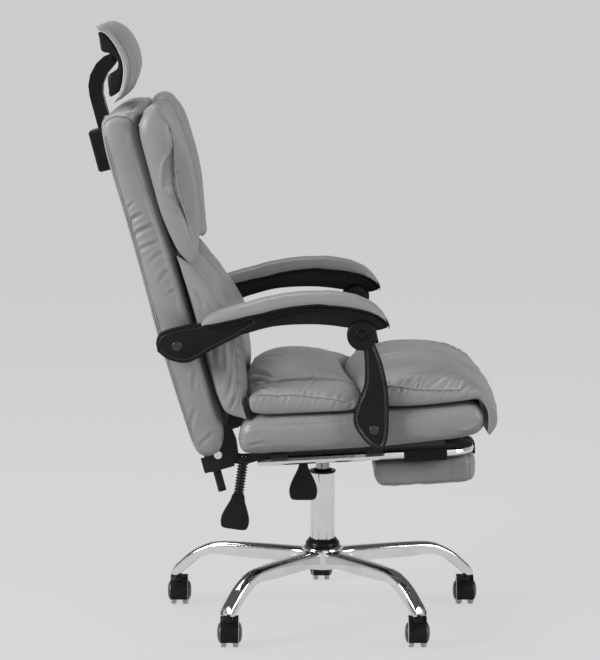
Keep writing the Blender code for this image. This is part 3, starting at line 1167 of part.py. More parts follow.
def build_footrest(seat):
    """Build the slide-out footrest: guides on the rails, U-shaped tube, hinged board and pad."""
    side = RAIL_SPREAD
    centre = FOOT_TUBE_FRONT - FOOT_TUBE_DIAMETER / 2
    bend = FOOT_TUBE_BEND
    turn = arc((centre - bend, side - bend), bend, QUARTER_TURN, 0, FOOT_BEND_STEPS)
    half = [(-FOOT_TUBE_REAR, side)] + turn
    route = half + [(x, -y) for x, y in reversed(half)]
    slide = frame("footrest_slide", seat)
    tube = tube_mesh("footrest_tube", [(x, y, -FOOT_TUBE_DROP) for x, y in route], FOOT_TUBE_DIAMETER,
                     TUBE_ROUNDNESS)
    smooth_shading(solid("footrest_tube", tube, CHROME, slide))

    guide_top = rail_bottom() - FIT
    for name, sign in RIGHT_AND_LEFT:
        low = (GUIDE_START, sign * side - GUIDE_WIDTH / 2, guide_top - GUIDE_HEIGHT)
        high = (GUIDE_START + GUIDE_LENGTH, sign * side + GUIDE_WIDTH / 2, guide_top)
        block = solid("footrest_guide_" + name, box_mesh("guide", low, high), PLASTIC, seat)
        bevel(block, RUNNING_GAP)
        cut(block, bore_mesh("tube_bore", (low[0] - OVERRUN, sign * side, -FOOT_TUBE_DROP),
                             (high[0] + OVERRUN, sign * side, -FOOT_TUBE_DROP), FOOT_TUBE_DIAMETER))

    flap = frame("footrest_flap", slide, (centre, 0, -FOOT_TUBE_DROP))
    drop = FOOT_TUBE_DROP - FOOT_PAD_TOP
    reach = centre - FOOT_TUBE_FRONT + FOOT_PAD_LENGTH
    board_half = FOOT_PAD_WIDTH / 2 - FOOT_BOARD_MARGIN
    board_low = (FOOT_BOARD_MARGIN - reach, -board_half, drop - FOOT_BOARD_THICKNESS)
    board_high = (-FOOT_BOARD_MARGIN / 2, board_half, drop)
    board = solid("footrest_board", box_mesh("footrest_board", board_low, board_high), SHELL_PLASTIC, flap)
    eye = FOOT_TUBE_DIAMETER / 2 + FOOT_LUG_WALL
    lug = arc((0, 0), eye, 0, HALF_TURN, LUG_STEPS)
    lug += [(-eye - FOOT_LUG_WALL, board_low[2]), (eye, board_low[2])]
    for name, sign in RIGHT_AND_LEFT:
        middle = sign * FOOT_LUG_SPREAD
        join(board, plate_mesh("lug", lug, middle - FOOT_LUG_WIDTH / 2, middle + FOOT_LUG_WIDTH / 2))
    cut(board, bore_mesh("tube_bore", (0, -board_half, 0), (0, board_half, 0), FOOT_TUBE_DIAMETER))

    outline = scaled(FOOT_PAD_SHARES, FOOT_PAD_LENGTH, FOOT_PAD_THICKNESS,
                     (-reach, drop - FOOT_PAD_THICKNESS))
    pad = solid("footrest_pad", cushion_mesh("footrest_pad", outline, FOOT_PAD_WIDTH, FOOT_PAD_EDGE,
                                             FOOT_PAD_STATIONS), LEATHER, flap)
    soften(pad)
    cut(pad, box_mesh("board_recess", (board_low[0] - FIT, -board_half - FIT, board_low[2] - FIT),
                      (board_high[0] + FIT, board_half + FIT, drop + OVERRUN)))
    for name, sign in RIGHT_AND_LEFT:
        middle = sign * FOOT_LUG_SPREAD
        wide = FOOT_LUG_WIDTH / 2 + FIT
        cut(pad, box_mesh("lug_recess", (-eye - FOOT_LUG_WALL, middle - wide, board_low[2] - FIT),
                          (eye + FIT, middle + wide, drop + OVERRUN)))
    smooth_shading(pad)


def stand_on_origin(model):
    """Move the chair so that the box round all its pieces stands centred on the origin."""
    bpy.context.view_layer.update()
    graph = bpy.context.evaluated_depsgraph_get()
    low = Vector((math.inf,) * 3)
    high = Vector((-math.inf,) * 3)
    for piece in CHAIR.objects:
        if piece.type == "MESH":
            for vertex in piece.evaluated_get(graph).data.vertices:
                place = piece.matrix_world @ vertex.co
                low = Vector(map(min, low, place))
                high = Vector(map(max, high, place))
    model.location = (-(low.x + high.x) / 2, -(low.y + high.y) / 2, -low.z)


def build_chair():
    """Build the chair, carrier by carrier."""
    model = frame("executive_office_chair_model")
    lift = frame("lift_slide", model)
    turn = frame("seat_swivel", lift)
    seat = frame("seat_carrier", turn, (0, 0, SEAT_HEIGHT), (0, -SEAT_TILT, 0))
    back = frame("back_recline", seat, (-RECLINE_BACK, 0, RECLINE_RISE), (0, SEAT_TILT - BACK_LEAN, 0))
    arm = frame("arm_pivot", back, (-ARM_PIVOT_BACK, 0, ARM_PIVOT_HEIGHT), (0, BACK_LEAN, 0))
    build_base(model)
    build_casters(model)
    build_column(model, lift)
    build_seat_frame(seat)
    build_seat(seat)
    build_lift_lever(seat)
    build_recline_lever(seat)
    build_back_frame(back)
    build_back(back)
    build_headrest(back)
    build_arms(arm, seat)
    build_footrest(seat)
    stand_on_origin(model)


build_chair()
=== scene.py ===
"""Dress the executive office chair: leather cushions, moulded plastic, chrome, studio and camera."""
import json
import logging
import math
from dataclasses import dataclass
from enum import Enum
from typing import Callable, Iterable, Sequence

import bmesh
import bpy
import numpy as np
from mathutils import Matrix, Vector


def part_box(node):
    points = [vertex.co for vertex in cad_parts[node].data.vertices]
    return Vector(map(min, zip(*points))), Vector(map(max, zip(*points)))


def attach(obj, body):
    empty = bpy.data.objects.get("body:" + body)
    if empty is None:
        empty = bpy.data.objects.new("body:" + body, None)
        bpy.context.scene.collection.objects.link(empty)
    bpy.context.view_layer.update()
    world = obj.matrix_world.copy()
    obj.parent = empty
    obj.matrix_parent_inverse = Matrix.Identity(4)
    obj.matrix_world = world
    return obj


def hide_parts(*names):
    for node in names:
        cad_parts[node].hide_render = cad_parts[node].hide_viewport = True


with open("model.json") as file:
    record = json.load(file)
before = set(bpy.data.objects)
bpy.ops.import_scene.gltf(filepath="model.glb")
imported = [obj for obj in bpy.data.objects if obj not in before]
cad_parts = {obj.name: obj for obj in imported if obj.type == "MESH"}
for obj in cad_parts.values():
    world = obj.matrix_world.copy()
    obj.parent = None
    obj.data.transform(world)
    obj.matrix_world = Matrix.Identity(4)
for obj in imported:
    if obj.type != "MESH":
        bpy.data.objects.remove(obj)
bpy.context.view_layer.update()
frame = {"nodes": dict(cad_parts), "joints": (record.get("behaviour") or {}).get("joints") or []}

LOG = logging.getLogger("chair")
SIDES = (("right", -1), ("left", 1))
PHOTO_WIDTH, PHOTO_HEIGHT = 600, 660
FULL_TURN = 2 * math.pi

Pair = tuple[float, float]
Profile = Sequence[Pair]


# Places on the chair


def joint_named(name: str) -> dict:
    """Return the row of one joint."""
    return next(joint for joint in frame["joints"] if joint["name"] == name)


def local_frame(origin: Sequence[float], forward: Sequence[float]) -> Matrix:
    """Return the frame of a carrier that leans in the XZ plane.

    Args:
        origin: Where the frame stands.
        forward: Its X axis, without a Y part.

    Returns:
        The matrix from the carrier's frame to the world.
    """
    x_axis = Vector((forward[0], 0.0, forward[2])).normalized()
    y_axis = Vector((0.0, 1.0, 0.0))
    matrix = Matrix((x_axis, y_axis, x_axis.cross(y_axis))).transposed().to_4x4()
    matrix.translation = origin
    return matrix


@dataclass(frozen=True)
class Carriers:
    """The local frames that the photograph's outlines were measured in."""

    seat_height: float = 0.392
    arm_reach: float = 0.356
    arm_front_rise: float = 0.02097

    @property
    def column(self) -> Vector:
        """Return the foot of the gas-lift column."""
        place = joint_named("seat_swivel")["pos_m"]
        return Vector((place[0], place[1], 0.0))

    @property
    def seat(self) -> Matrix:
        """Return the seat's frame: X along the seat, Z out of it."""
        axis = joint_named("footrest_slide")["axis"]
        return local_frame(self.column + Vector((0, 0, self.seat_height)), axis)

    @property
    def back(self) -> Matrix:
        """Return the back's frame: X forwards, Z up along the back."""
        up = joint_named("headrest_slide")["axis"]
        return local_frame(joint_named("back_recline")["pos_m"], (up[2], 0, -up[0]))

    @property
    def head(self) -> Matrix:
        """Return the headrest's frame, on its tilting pin."""
        up = joint_named("headrest_slide")["axis"]
        return local_frame(joint_named("headrest_tilt")["pos_m"], (up[2], 0, -up[0]))

    @property
    def arm(self) -> Matrix:
        """Return the armrests' frame, on the rear pivot."""
        return local_frame(joint_named("arm_right_pivot")["pos_m"], (1, 0, 0))

    @property
    def link(self) -> Matrix:
        """Return the links' frame: Z from the lower bolt to the front pivot."""
        foot = Vector(joint_named("link_right_pivot")["pos_m"])
        head = self.arm @ Vector((self.arm_reach, 0, self.arm_front_rise))
        up = (head - foot).normalized()
        return local_frame(foot, (up.z, 0, -up.x))

    @property
    def link_length(self) -> float:
        """Return the distance between a link's two pivots."""
        head = self.arm @ Vector((self.arm_reach, 0, self.arm_front_rise))
        return (head - Vector(joint_named("link_right_pivot")["pos_m"])).length

    @property
    def flap(self) -> Matrix:
        """Return the footrest flap's frame, on the tube's front bar."""
        axis = joint_named("footrest_slide")["axis"]
        return local_frame(joint_named("footrest_flip")["pos_m"], axis)


# Node trees and finishes


class NodeBuilder:
    """Adds and links the nodes of one tree."""

    def __init__(self, tree: bpy.types.NodeTree) -> None:
        """Hold the tree."""
        self.tree = tree

    def add(self, kind: str, **values: object) -> bpy.types.Node:
        """Add a node.

        Args:
            kind: The node's type name.
            **values: Properties, or inputs by name with spaces written as underscores.

        Returns:
            The new node.
        """
        node = self.tree.nodes.new(kind)
        for name, value in values.items():
            label = name.replace("_", " ")
            socket = next((s for s in node.inputs if s.name == label and s.enabled), None)
            if socket is None:
                setattr(node, name, value)
            elif isinstance(value, bpy.types.NodeSocket):
                self.tree.links.new(value, socket)
            else:
                socket.default_value = value
        return node

    def join(self, source: bpy.types.NodeSocket, target: bpy.types.NodeSocket) -> None:
        """Link two sockets."""
        self.tree.links.new(source, target)

    def mix(self, factor: object, first: object, second: object) -> bpy.types.NodeSocket:
        """Return the mix of two colours by a factor socket."""
        node = self.tree.nodes.new("ShaderNodeMix")
        node.data_type = "RGBA"
        for index, value in ((0, factor), (6, first), (7, second)):
            if isinstance(value, bpy.types.NodeSocket):
                self.tree.links.new(value, node.inputs[index])
            else:
                node.inputs[index].default_value = value if index == 0 else (*value, 1.0)
        return node.outputs[2]

    def ramp(self, factor: bpy.types.NodeSocket, low: float, high: float, start: float = 0.0,
             end: float = 1.0) -> bpy.types.NodeSocket:
        """Return a value carried from the range low-high to start-end, clamped."""
        node = self.add("ShaderNodeMapRange", Value=factor)
        node.inputs[1].default_value = low
        node.inputs[2].default_value = high
        node.inputs[3].default_value = start
        node.inputs[4].default_value = end
        return node.outputs[0]


Colour = tuple[float, float, float]


@dataclass(frozen=True)
class Finish:
    """A surface finish whose colour, roughness and relief come from noise on object coordinates."""

    name: str
    colour: Colour
    shade: Colour
    roughness: float
    roughness_spread: float = 0.06
    metallic: float = 0.0
    cloud_scale: float = 9.0
    grain_scale: float = 900.0
    grain_height: float = 0.00004
    grain_strength: float = 0.25
    specular: float = 0.5

    def relief(self, nodes: NodeBuilder, place: bpy.types.NodeSocket) -> bpy.types.NodeSocket:
        """Return the height of the surface's grain."""
        return nodes.add("ShaderNodeTexNoise", Vector=place, Scale=self.grain_scale, Detail=2.0).outputs[0]

    def build(self) -> bpy.types.Material:
        """Return the material, made once."""
        known = bpy.data.materials.get(self.name)
        if known:
            return known
        material = bpy.data.materials.new(self.name)
        material.use_nodes = True
        nodes = NodeBuilder(material.node_tree)
        shader = material.node_tree.nodes["Principled BSDF"]
        place = nodes.add("ShaderNodeTexCoord").outputs["Object"]
        clouds = nodes.add("ShaderNodeTexNoise", Vector=place, Scale=self.cloud_scale, Detail=4.0).outputs[0]
        colour = nodes.mix(nodes.ramp(clouds, 0.35, 0.65), self.colour, self.shade)
        nodes.join(colour, shader.inputs["Base Color"])
        fine = nodes.add("ShaderNodeTexNoise", Vector=place, Scale=self.cloud_scale * 7,
            Detail=5.0).outputs[0]
        nodes.join(nodes.ramp(fine, 0.3, 0.7, self.roughness - self.roughness_spread,
                              self.roughness + self.roughness_spread), shader.inputs["Roughness"])
        bump = nodes.add("ShaderNodeBump", Strength=self.grain_strength, Distance=self.grain_height,
                         Height=self.relief(nodes, place))
        nodes.join(bump.outputs[0], shader.inputs["Normal"])
        shader.inputs["Metallic"].default_value = self.metallic
        shader.inputs["Specular IOR Level"].default_value = self.specular
        return material


@dataclass(frozen=True)
class LeatherFinish(Finish):
    """Grained leather: pebbles between fine creases, with faint wrinkles over them."""

    pebble_scale: float = 620.0
    wrinkle_scale: float = 70.0

    def relief(self, nodes: NodeBuilder, place: bpy.types.NodeSocket) -> bpy.types.NodeSocket:
        """Return pebbles cut by creases, with broad wrinkles."""
        pebbles = nodes.add("ShaderNodeTexVoronoi", Vector=place, Scale=self.pebble_scale)
        pebbles.feature = "SMOOTH_F1"
        wrinkles = nodes.add("ShaderNodeTexNoise", Vector=place, Scale=self.wrinkle_scale, Detail=6.0,
                             Roughness=0.6).outputs[0]
        weighted = nodes.add("ShaderNodeMath", operation="MULTIPLY_ADD")
        nodes.join(wrinkles, weighted.inputs[0])
        weighted.inputs[1].default_value = 1.6
        nodes.join(pebbles.outputs["Distance"], weighted.inputs[2])
        return weighted.outputs[0]


LEATHER = LeatherFinish("grey_leather", (0.225, 0.221, 0.225), (0.203, 0.199, 0.203), 0.44, 0.05,
    cloud_scale=6.0, grain_height=0.0003, grain_strength=0.18, specular=0.4)
PIPING = LeatherFinish("leather_piping", (0.235, 0.231, 0.235), (0.21, 0.206, 0.21), 0.42, 0.05,
    cloud_scale=12.0, grain_height=0.0002, grain_strength=0.15, specular=0.42)
PALE_PIPING = LeatherFinish("pale_rim", (0.46, 0.455, 0.46), (0.4, 0.395, 0.4), 0.42, 0.05, cloud_scale=12.0,
    grain_height=0.0002, grain_strength=0.12, specular=0.42)
THREAD = Finish("stitch_thread", (0.27, 0.265, 0.27), (0.19, 0.185, 0.19), 0.62, grain_scale=2400.0,
    grain_strength=0.5)
ZIP_TAPE = Finish("zip_tape", (0.035, 0.035, 0.036), (0.02, 0.02, 0.021), 0.6, grain_scale=1600.0,
    grain_strength=0.5)
CHROME = Finish("polished_chrome", (0.8, 0.8, 0.81), (0.72, 0.72, 0.73), 0.09, 0.025, 1.0, 14.0, 500.0,
    0.00002, 0.05)
PISTON = Finish("gas_piston_steel", (0.42, 0.42, 0.43), (0.34, 0.34, 0.35), 0.26, 0.05, 1.0, 20.0, 900.0,
    0.00002, 0.1)
BLACK_STEEL = Finish("painted_steel", (0.007, 0.007, 0.0075), (0.012, 0.012, 0.0125), 0.28, 0.05, 0.0, 22.0,
    1100.0, 0.00005, 0.2, specular=0.2)
DARK_BOLT = Finish("dark_bolt", (0.05, 0.05, 0.052), (0.03, 0.03, 0.031), 0.3, 0.06, 1.0, 60.0, 900.0,
    0.00003, 0.15)
# Lighter copy of the moulded plastic: a painted highlight on the rims' beads and on the bolt caps.
HIGHLIT_PLASTIC = Finish("highlit_plastic", (0.016, 0.016, 0.0165), (0.022, 0.022, 0.0225), 0.3, 0.05, 0.0, 16.0,
    1500.0, 0.00004, 0.2)
BLACK_PLASTIC = Finish("moulded_plastic", (0.006, 0.006, 0.0063), (0.009, 0.009, 0.0094), 0.3, 0.05, 0.0,
    16.0, 1500.0, 0.00005, 0.2, specular=0.15)
SHELL_PLASTIC = Finish("dull_plastic", (0.007, 0.007, 0.0073), (0.011, 0.011, 0.0114), 0.34, 0.05, 0.0, 16.0,
    1500.0, 0.00006, 0.2, specular=0.18)
SLEEVE_RUBBER = Finish("ribbed_rubber", (0.006, 0.006, 0.006), (0.01, 0.01, 0.01), 0.28, 0.05, 0.0, 30.0,
    1300.0, 0.00005, 0.2, specular=0.6)
TREAD = Finish("pale_tyre", (0.62, 0.62, 0.61), (0.55, 0.55, 0.54), 0.42, 0.08, 0.0, 30.0, 900.0, 0.00004,
    0.2)
WHEEL_CAP = Finish("wheel_cap", (0.05, 0.05, 0.052), (0.035, 0.035, 0.036), 0.36, 0.06, 0.0, 30.0, 900.0,
    0.00004, 0.2)


@dataclass(frozen=True)
class PlywoodFinish(Finish):
    """Black-stained plywood: long grain along Y."""

    def relief(self, nodes: NodeBuilder, place: bpy.types.NodeSocket) -> bpy.types.NodeSocket:
        """Return rings stretched along the board."""
        stretched = nodes.add("ShaderNodeMapping", Vector=place, Scale=(1.0, 0.12, 1.0)).outputs[0]
        return nodes.add("ShaderNodeTexNoise", Vector=stretched, Scale=160.0, Detail=4.0).outputs[0]


PLYWOOD = PlywoodFinish("stained_plywood", (0.02, 0.016, 0.013), (0.012, 0.01, 0.009), 0.6, 0.05,
    cloud_scale=4.0, grain_height=0.0002, grain_strength=0.3)


class Slot(Enum):
    """The record's material slots, each with its finish."""

    CHROME = ("chrome", CHROME)
    PISTON = ("piston", PISTON)
    BLACK_STEEL = ("black_steel", BLACK_STEEL)
    BLACK_PLASTIC = ("black_plastic", BLACK_PLASTIC)
    SHELL_PLASTIC = ("shell_plastic", SHELL_PLASTIC)
    SLEEVE_RUBBER = ("sleeve_rubber", SLEEVE_RUBBER)
    LEATHER = ("leather", LEATHER)
    PLYWOOD = ("plywood", PLYWOOD)
    WHEEL_TREAD = ("wheel_tread", TREAD)

    @property
    def label(self) -> str:
        """Return the slot's name in the record."""
        return self.value[0]

    @property
    def finish(self) -> Finish:
        """Return the finish."""
        return self.value[1]


# Curves and meshes


def mm(sizes: object) -> object:
    """Return sizes given in millimetres in metres, in the same lists and pairs."""
    return type(sizes)(mm(size) for size in sizes) if isinstance(sizes, (list, tuple)) else sizes / 1000


def catmull(points: Profile, count: int, closed: bool = False) -> np.ndarray:
    """Return a smooth curve through the points, evenly spaced along its length.

    Args:
        points: The points to pass through, in two or three dimensions.
        count: How many points to return.
        closed: Whether the last point runs on to the first.

    Returns:
        An array of count rows.
    """
    given = np.asarray(points, dtype=float)
    if closed:
        knots = np.vstack((given[-1:], given, given[:2]))
    else:
        knots = np.vstack((2 * given[:1] - given[1:2], given, 2 * given[-1:] - given[-2:-1]))
    steps = np.linspace(0, 1, 24, endpoint=False)[:, None]
    pieces = []
    for a, b, c, d in zip(knots, knots[1:], knots[2:], knots[3:]):
        pieces.append(0.5 * (2 * b + (c - a) * steps + (2 * a - 5 * b + 4 * c - d) * steps ** 2
            + (3 * b - a - 3 * c + d) * steps ** 3))
    dense = np.vstack(pieces + [knots[-2:-1]])
    run = np.concatenate(([0.0], np.cumsum(np.linalg.norm(np.diff(dense, axis=0), axis=1))))
    marks = np.linspace(0, run[-1], count + 1)[:-1] if closed else np.linspace(0, run[-1], count)
    return np.column_stack([np.interp(marks, run, dense[:, axis]) for axis in range(dense.shape[1])])


def eased(marks: np.ndarray, keys: Sequence[float], values: np.ndarray) -> np.ndarray:
    """Return values carried smoothly between keys, without going beyond them.

    Args:
        marks: Where to read.
        keys: Rising key places.
        values: One row for each key.

    Returns:
        One row for each mark.
    """
    keys = np.asarray(keys, dtype=float)
    slope = np.gradient(values, keys, axis=0)
    rise = np.diff(values, axis=0) / np.diff(keys).reshape((-1,) + (1,) * (values.ndim - 1))
    before, after = np.concatenate((rise[:1], rise)), np.concatenate((rise, rise[-1:]))
    most = 1.5 * np.minimum(np.abs(before), np.abs(after))
    slope = np.where(before * after > 0, np.clip(slope, -most, most), 0.0)
    index = np.clip(np.searchsorted(keys, marks) - 1, 0, len(keys) - 2)
    width = (keys[index + 1] - keys[index])[:, None]
    part = ((marks - keys[index])[:, None] / width).clip(0, 1)
    shape = values.reshape(len(keys), -1)
    lean = slope.reshape(len(keys), -1)
    first, last = shape[index], shape[index + 1]
    result = ((2 * part ** 3 - 3 * part ** 2 + 1) * first + (part ** 3 - 2 * part ** 2 + part) * width
        * lean[index] + (3 * part ** 2 - 2 * part ** 3) * last + (part ** 3 - part ** 2) * width
        * lean[index + 1])
    return result.reshape((len(marks),) + values.shape[1:])


def new_mesh(name: str, places: Iterable, faces: Iterable, matrix: Matrix | None = None) -> bpy.types.Mesh:
    """Return a mesh with its faces pointing outwards.

    Args:
        name: The mesh's name.
        places: Its points.
        faces: Its faces.
        matrix: Where the points' frame stands.

    Returns:
        The mesh.
    """
    mesh = bpy.data.meshes.new(name)
    mesh.from_pydata([tuple(place) for place in places], [], [tuple(int(i) for i in face) for face in faces])
    bm = bmesh.new()
    bm.from_mesh(mesh)
    bmesh.ops.remove_doubles(bm, verts=bm.verts, dist=1e-7)
    bmesh.ops.recalc_face_normals(bm, faces=bm.faces)
    bm.to_mesh(mesh)
    bm.free()
    if matrix is not None:
        mesh.transform(matrix)
    return mesh


def ladder(rows: int, count: int, closed: bool = False) -> list[tuple[int, ...]]:
    """Return the quads between rings of points.

    Args:
        rows: How many rings.
        count: How many points each has.
        closed: Whether the last ring joins the first, instead of a face on each end.

    Returns:
        The faces.
    """
    faces = []
    for row in range(rows if closed else rows - 1):
        first, after = row * count, (row + 1) % rows * count
        for i in range(count):
            j = (i + 1) % count
            faces.append((first + i, first + j, after + j, after + i))
    if not closed:
        faces += [tuple(range(count)), tuple(range((rows - 1) * count, rows * count))]
    return faces


def joined(name: str, meshes: Sequence[bpy.types.Mesh]) -> bpy.types.Mesh:
    """Return one mesh made of several."""
    bm = bmesh.new()
    for mesh in meshes:
        bm.from_mesh(mesh)
    result = bpy.data.meshes.new(name)
    bm.to_mesh(result)
    bm.free()
    return result


def show(name: str, mesh: bpy.types.Mesh) -> bpy.types.Object:
    """Return an object of the scene that holds the mesh."""
    piece = bpy.data.objects.new(name, mesh)
    bpy.context.scene.collection.objects.link(piece)
    return piece


def baked(piece: bpy.types.Object) -> bpy.types.Object:
    """Apply a piece's modifiers to its mesh."""
    graph = bpy.context.evaluated_depsgraph_get()
    mesh = bpy.data.meshes.new_from_object(piece.evaluated_get(graph), preserve_all_data_layers=True,
                                           depsgraph=graph)
    piece.modifiers.clear()
    piece.data = mesh
    return piece


def subdivided(piece: bpy.types.Object, levels: int = 1) -> bpy.types.Object:
    """Subdivide a piece and apply the result."""
    modifier = piece.modifiers.new("rounding", "SUBSURF")
    modifier.levels = levels
    modifier.render_levels = levels
    return baked(piece)


def finish_piece(piece: bpy.types.Object, body: str, slot: Slot, replaced: Sequence[str] = (),
                 finish: Finish | None = None, crease: float = 34.0) -> bpy.types.Object:
    """Dress a piece, smooth its shading and put it on its body.

    Args:
        piece: The piece.
        body: The body that it rides on.
        slot: Its material slot.
        replaced: The CAD nodes that it stands for.
        finish: Its finish, where it isn't the slot's own.
        crease: The angle over which an edge stays sharp, in degrees.

    Returns:
        The same piece.
    """
    piece.data.materials.clear()
    piece.data.materials.append((finish or slot.finish).build())
    for face in piece.data.polygons:
        face.use_smooth = True
        face.material_index = 0
    piece.data.set_sharp_from_angle(angle=math.radians(crease))
    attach(piece, body)
    if replaced:
        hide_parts(*replaced)
    LOG.info("%s: %d faces on %s", piece.name, len(piece.data.polygons), body)
    return piece


def coordinates(mesh: bpy.types.Mesh) -> np.ndarray:
    """Return the mesh's points as rows."""
    flat = np.empty(len(mesh.vertices) * 3, dtype=np.float32)
    mesh.vertices.foreach_get("co", flat)
    return flat.reshape(-1, 3).astype(float)


def directions(mesh: bpy.types.Mesh) -> np.ndarray:
    """Return the normals of the mesh's points as rows."""
    flat = np.empty(len(mesh.vertices) * 3, dtype=np.float32)
    mesh.vertex_normals.foreach_get("vector", flat)
    return flat.reshape(-1, 3).astype(float)


def place_points(mesh: bpy.types.Mesh, places: np.ndarray) -> None:
    """Move the mesh's points to the rows given."""
    mesh.vertices.foreach_set("co", places.astype(np.float32).ravel())
    mesh.update()


def to_local(places: np.ndarray, matrix: Matrix) -> np.ndarray:
    """Return world places in a carrier's frame."""
    inverse = np.array(matrix.inverted())
    return places @ inverse[:3, :3].T + inverse[:3, 3]


def to_world(places: np.ndarray, matrix: Matrix) -> np.ndarray:
    """Return a carrier's places in the world."""
    forward = np.array(matrix)
    return places @ forward[:3, :3].T + forward[:3, 3]


def inward_sides(outline: np.ndarray) -> tuple[np.ndarray, np.ndarray]:
    """Return a closed outline turned one way round, and its directions inwards."""
    after = np.roll(outline, -1, axis=0)
    area = 0.5 * np.sum(outline[:, 0] * after[:, 1] - after[:, 0] * outline[:, 1])
    line = outline if area > 0 else outline[::-1]
    run = np.roll(line, -1, axis=0) - np.roll(line, 1, axis=0)
    inward = np.column_stack((-run[:, 1], run[:, 0]))
    return line, inward / np.linalg.norm(inward, axis=1)[:, None]


def plate_mesh(name: str, outline: np.ndarray, near: float, far: float, matrix: Matrix,
               round_by: float = 0.002) -> bpy.types.Mesh:
    """Return a plate with rounded edges, cut along an outline in X and Z.

    Args:
        name: The mesh's name.
        outline: The closed outline's points.
        near: Its inner face on Y.
        far: Its outer face on Y.
        matrix: Where the outline's frame stands.
        round_by: The edges' radius.

    Returns:
        The mesh.
    """
    line, inward = inward_sides(outline)
    out = 1 if far > near else -1
    rings = [(round_by, near), (round_by * 0.3, near + out * round_by * 0.3), (0.0, near + out * round_by),
             (0.0, far - out * round_by), (round_by * 0.3, far - out * round_by * 0.3), (round_by, far)]
    places = [(x, depth, z) for inset, depth in rings for x, z in line + inward * inset]
    return new_mesh(name, places, ladder(len(rings), len(line)), matrix)


def inner_line(outline: np.ndarray, inset: float) -> np.ndarray:
    """Return the closed line that runs inside an outline at a distance.

    Args:
        outline: The outline's points.
        inset: The distance.

    Returns:
        The line's points, without the places where the outline is too narrow.
    """
    line, inward = inward_sides(outline)
    shifted = line + inward * inset
    gaps = np.linalg.norm(shifted[:, None] - line[None], axis=2).min(axis=1)
    return shifted[gaps > inset * 0.985]


def turned_mesh(name: str, profile: Profile, centre: Vector, axis: Sequence[float], sides: int = 48,
                bored: bool = False) -> bpy.types.Mesh:
    """Return a turned shape.

    Args:
        name: The mesh's name.
        profile: Pairs of distance along the axis and radius, closed where a radius is 0.
        centre: Where distance 0 lies.
        axis: The axis.
        sides: How many facets it has round.
        bored: Whether a bore joins the profile's two ends, instead of a flat cap on each.

    Returns:
        The mesh.
    """
    stand = Vector(axis).to_track_quat("Z", "Y").to_matrix().to_4x4()
    stand.translation = centre
    angles = np.linspace(0, FULL_TURN, sides, endpoint=False)
    places = [(radius * math.cos(a), radius * math.sin(a), along) for along,
        radius in profile for a in angles]
    return new_mesh(name, places, ladder(len(profile), sides, bored), stand)


def rounded_profile(start: float, end: float, radius: float, edge: float) -> list[Pair]:
    """Return a turned bar's profile with rounded ends."""
    return [(start, 0.0), (start, radius - edge), (start + edge * 0.3, radius - edge * 0.3),
        (start + edge, radius), (end - edge, radius), (end - edge * 0.3, radius - edge * 0.3),
        (end, radius - edge), (end, 0.0)]


# Geometry Nodes: piping and stitches


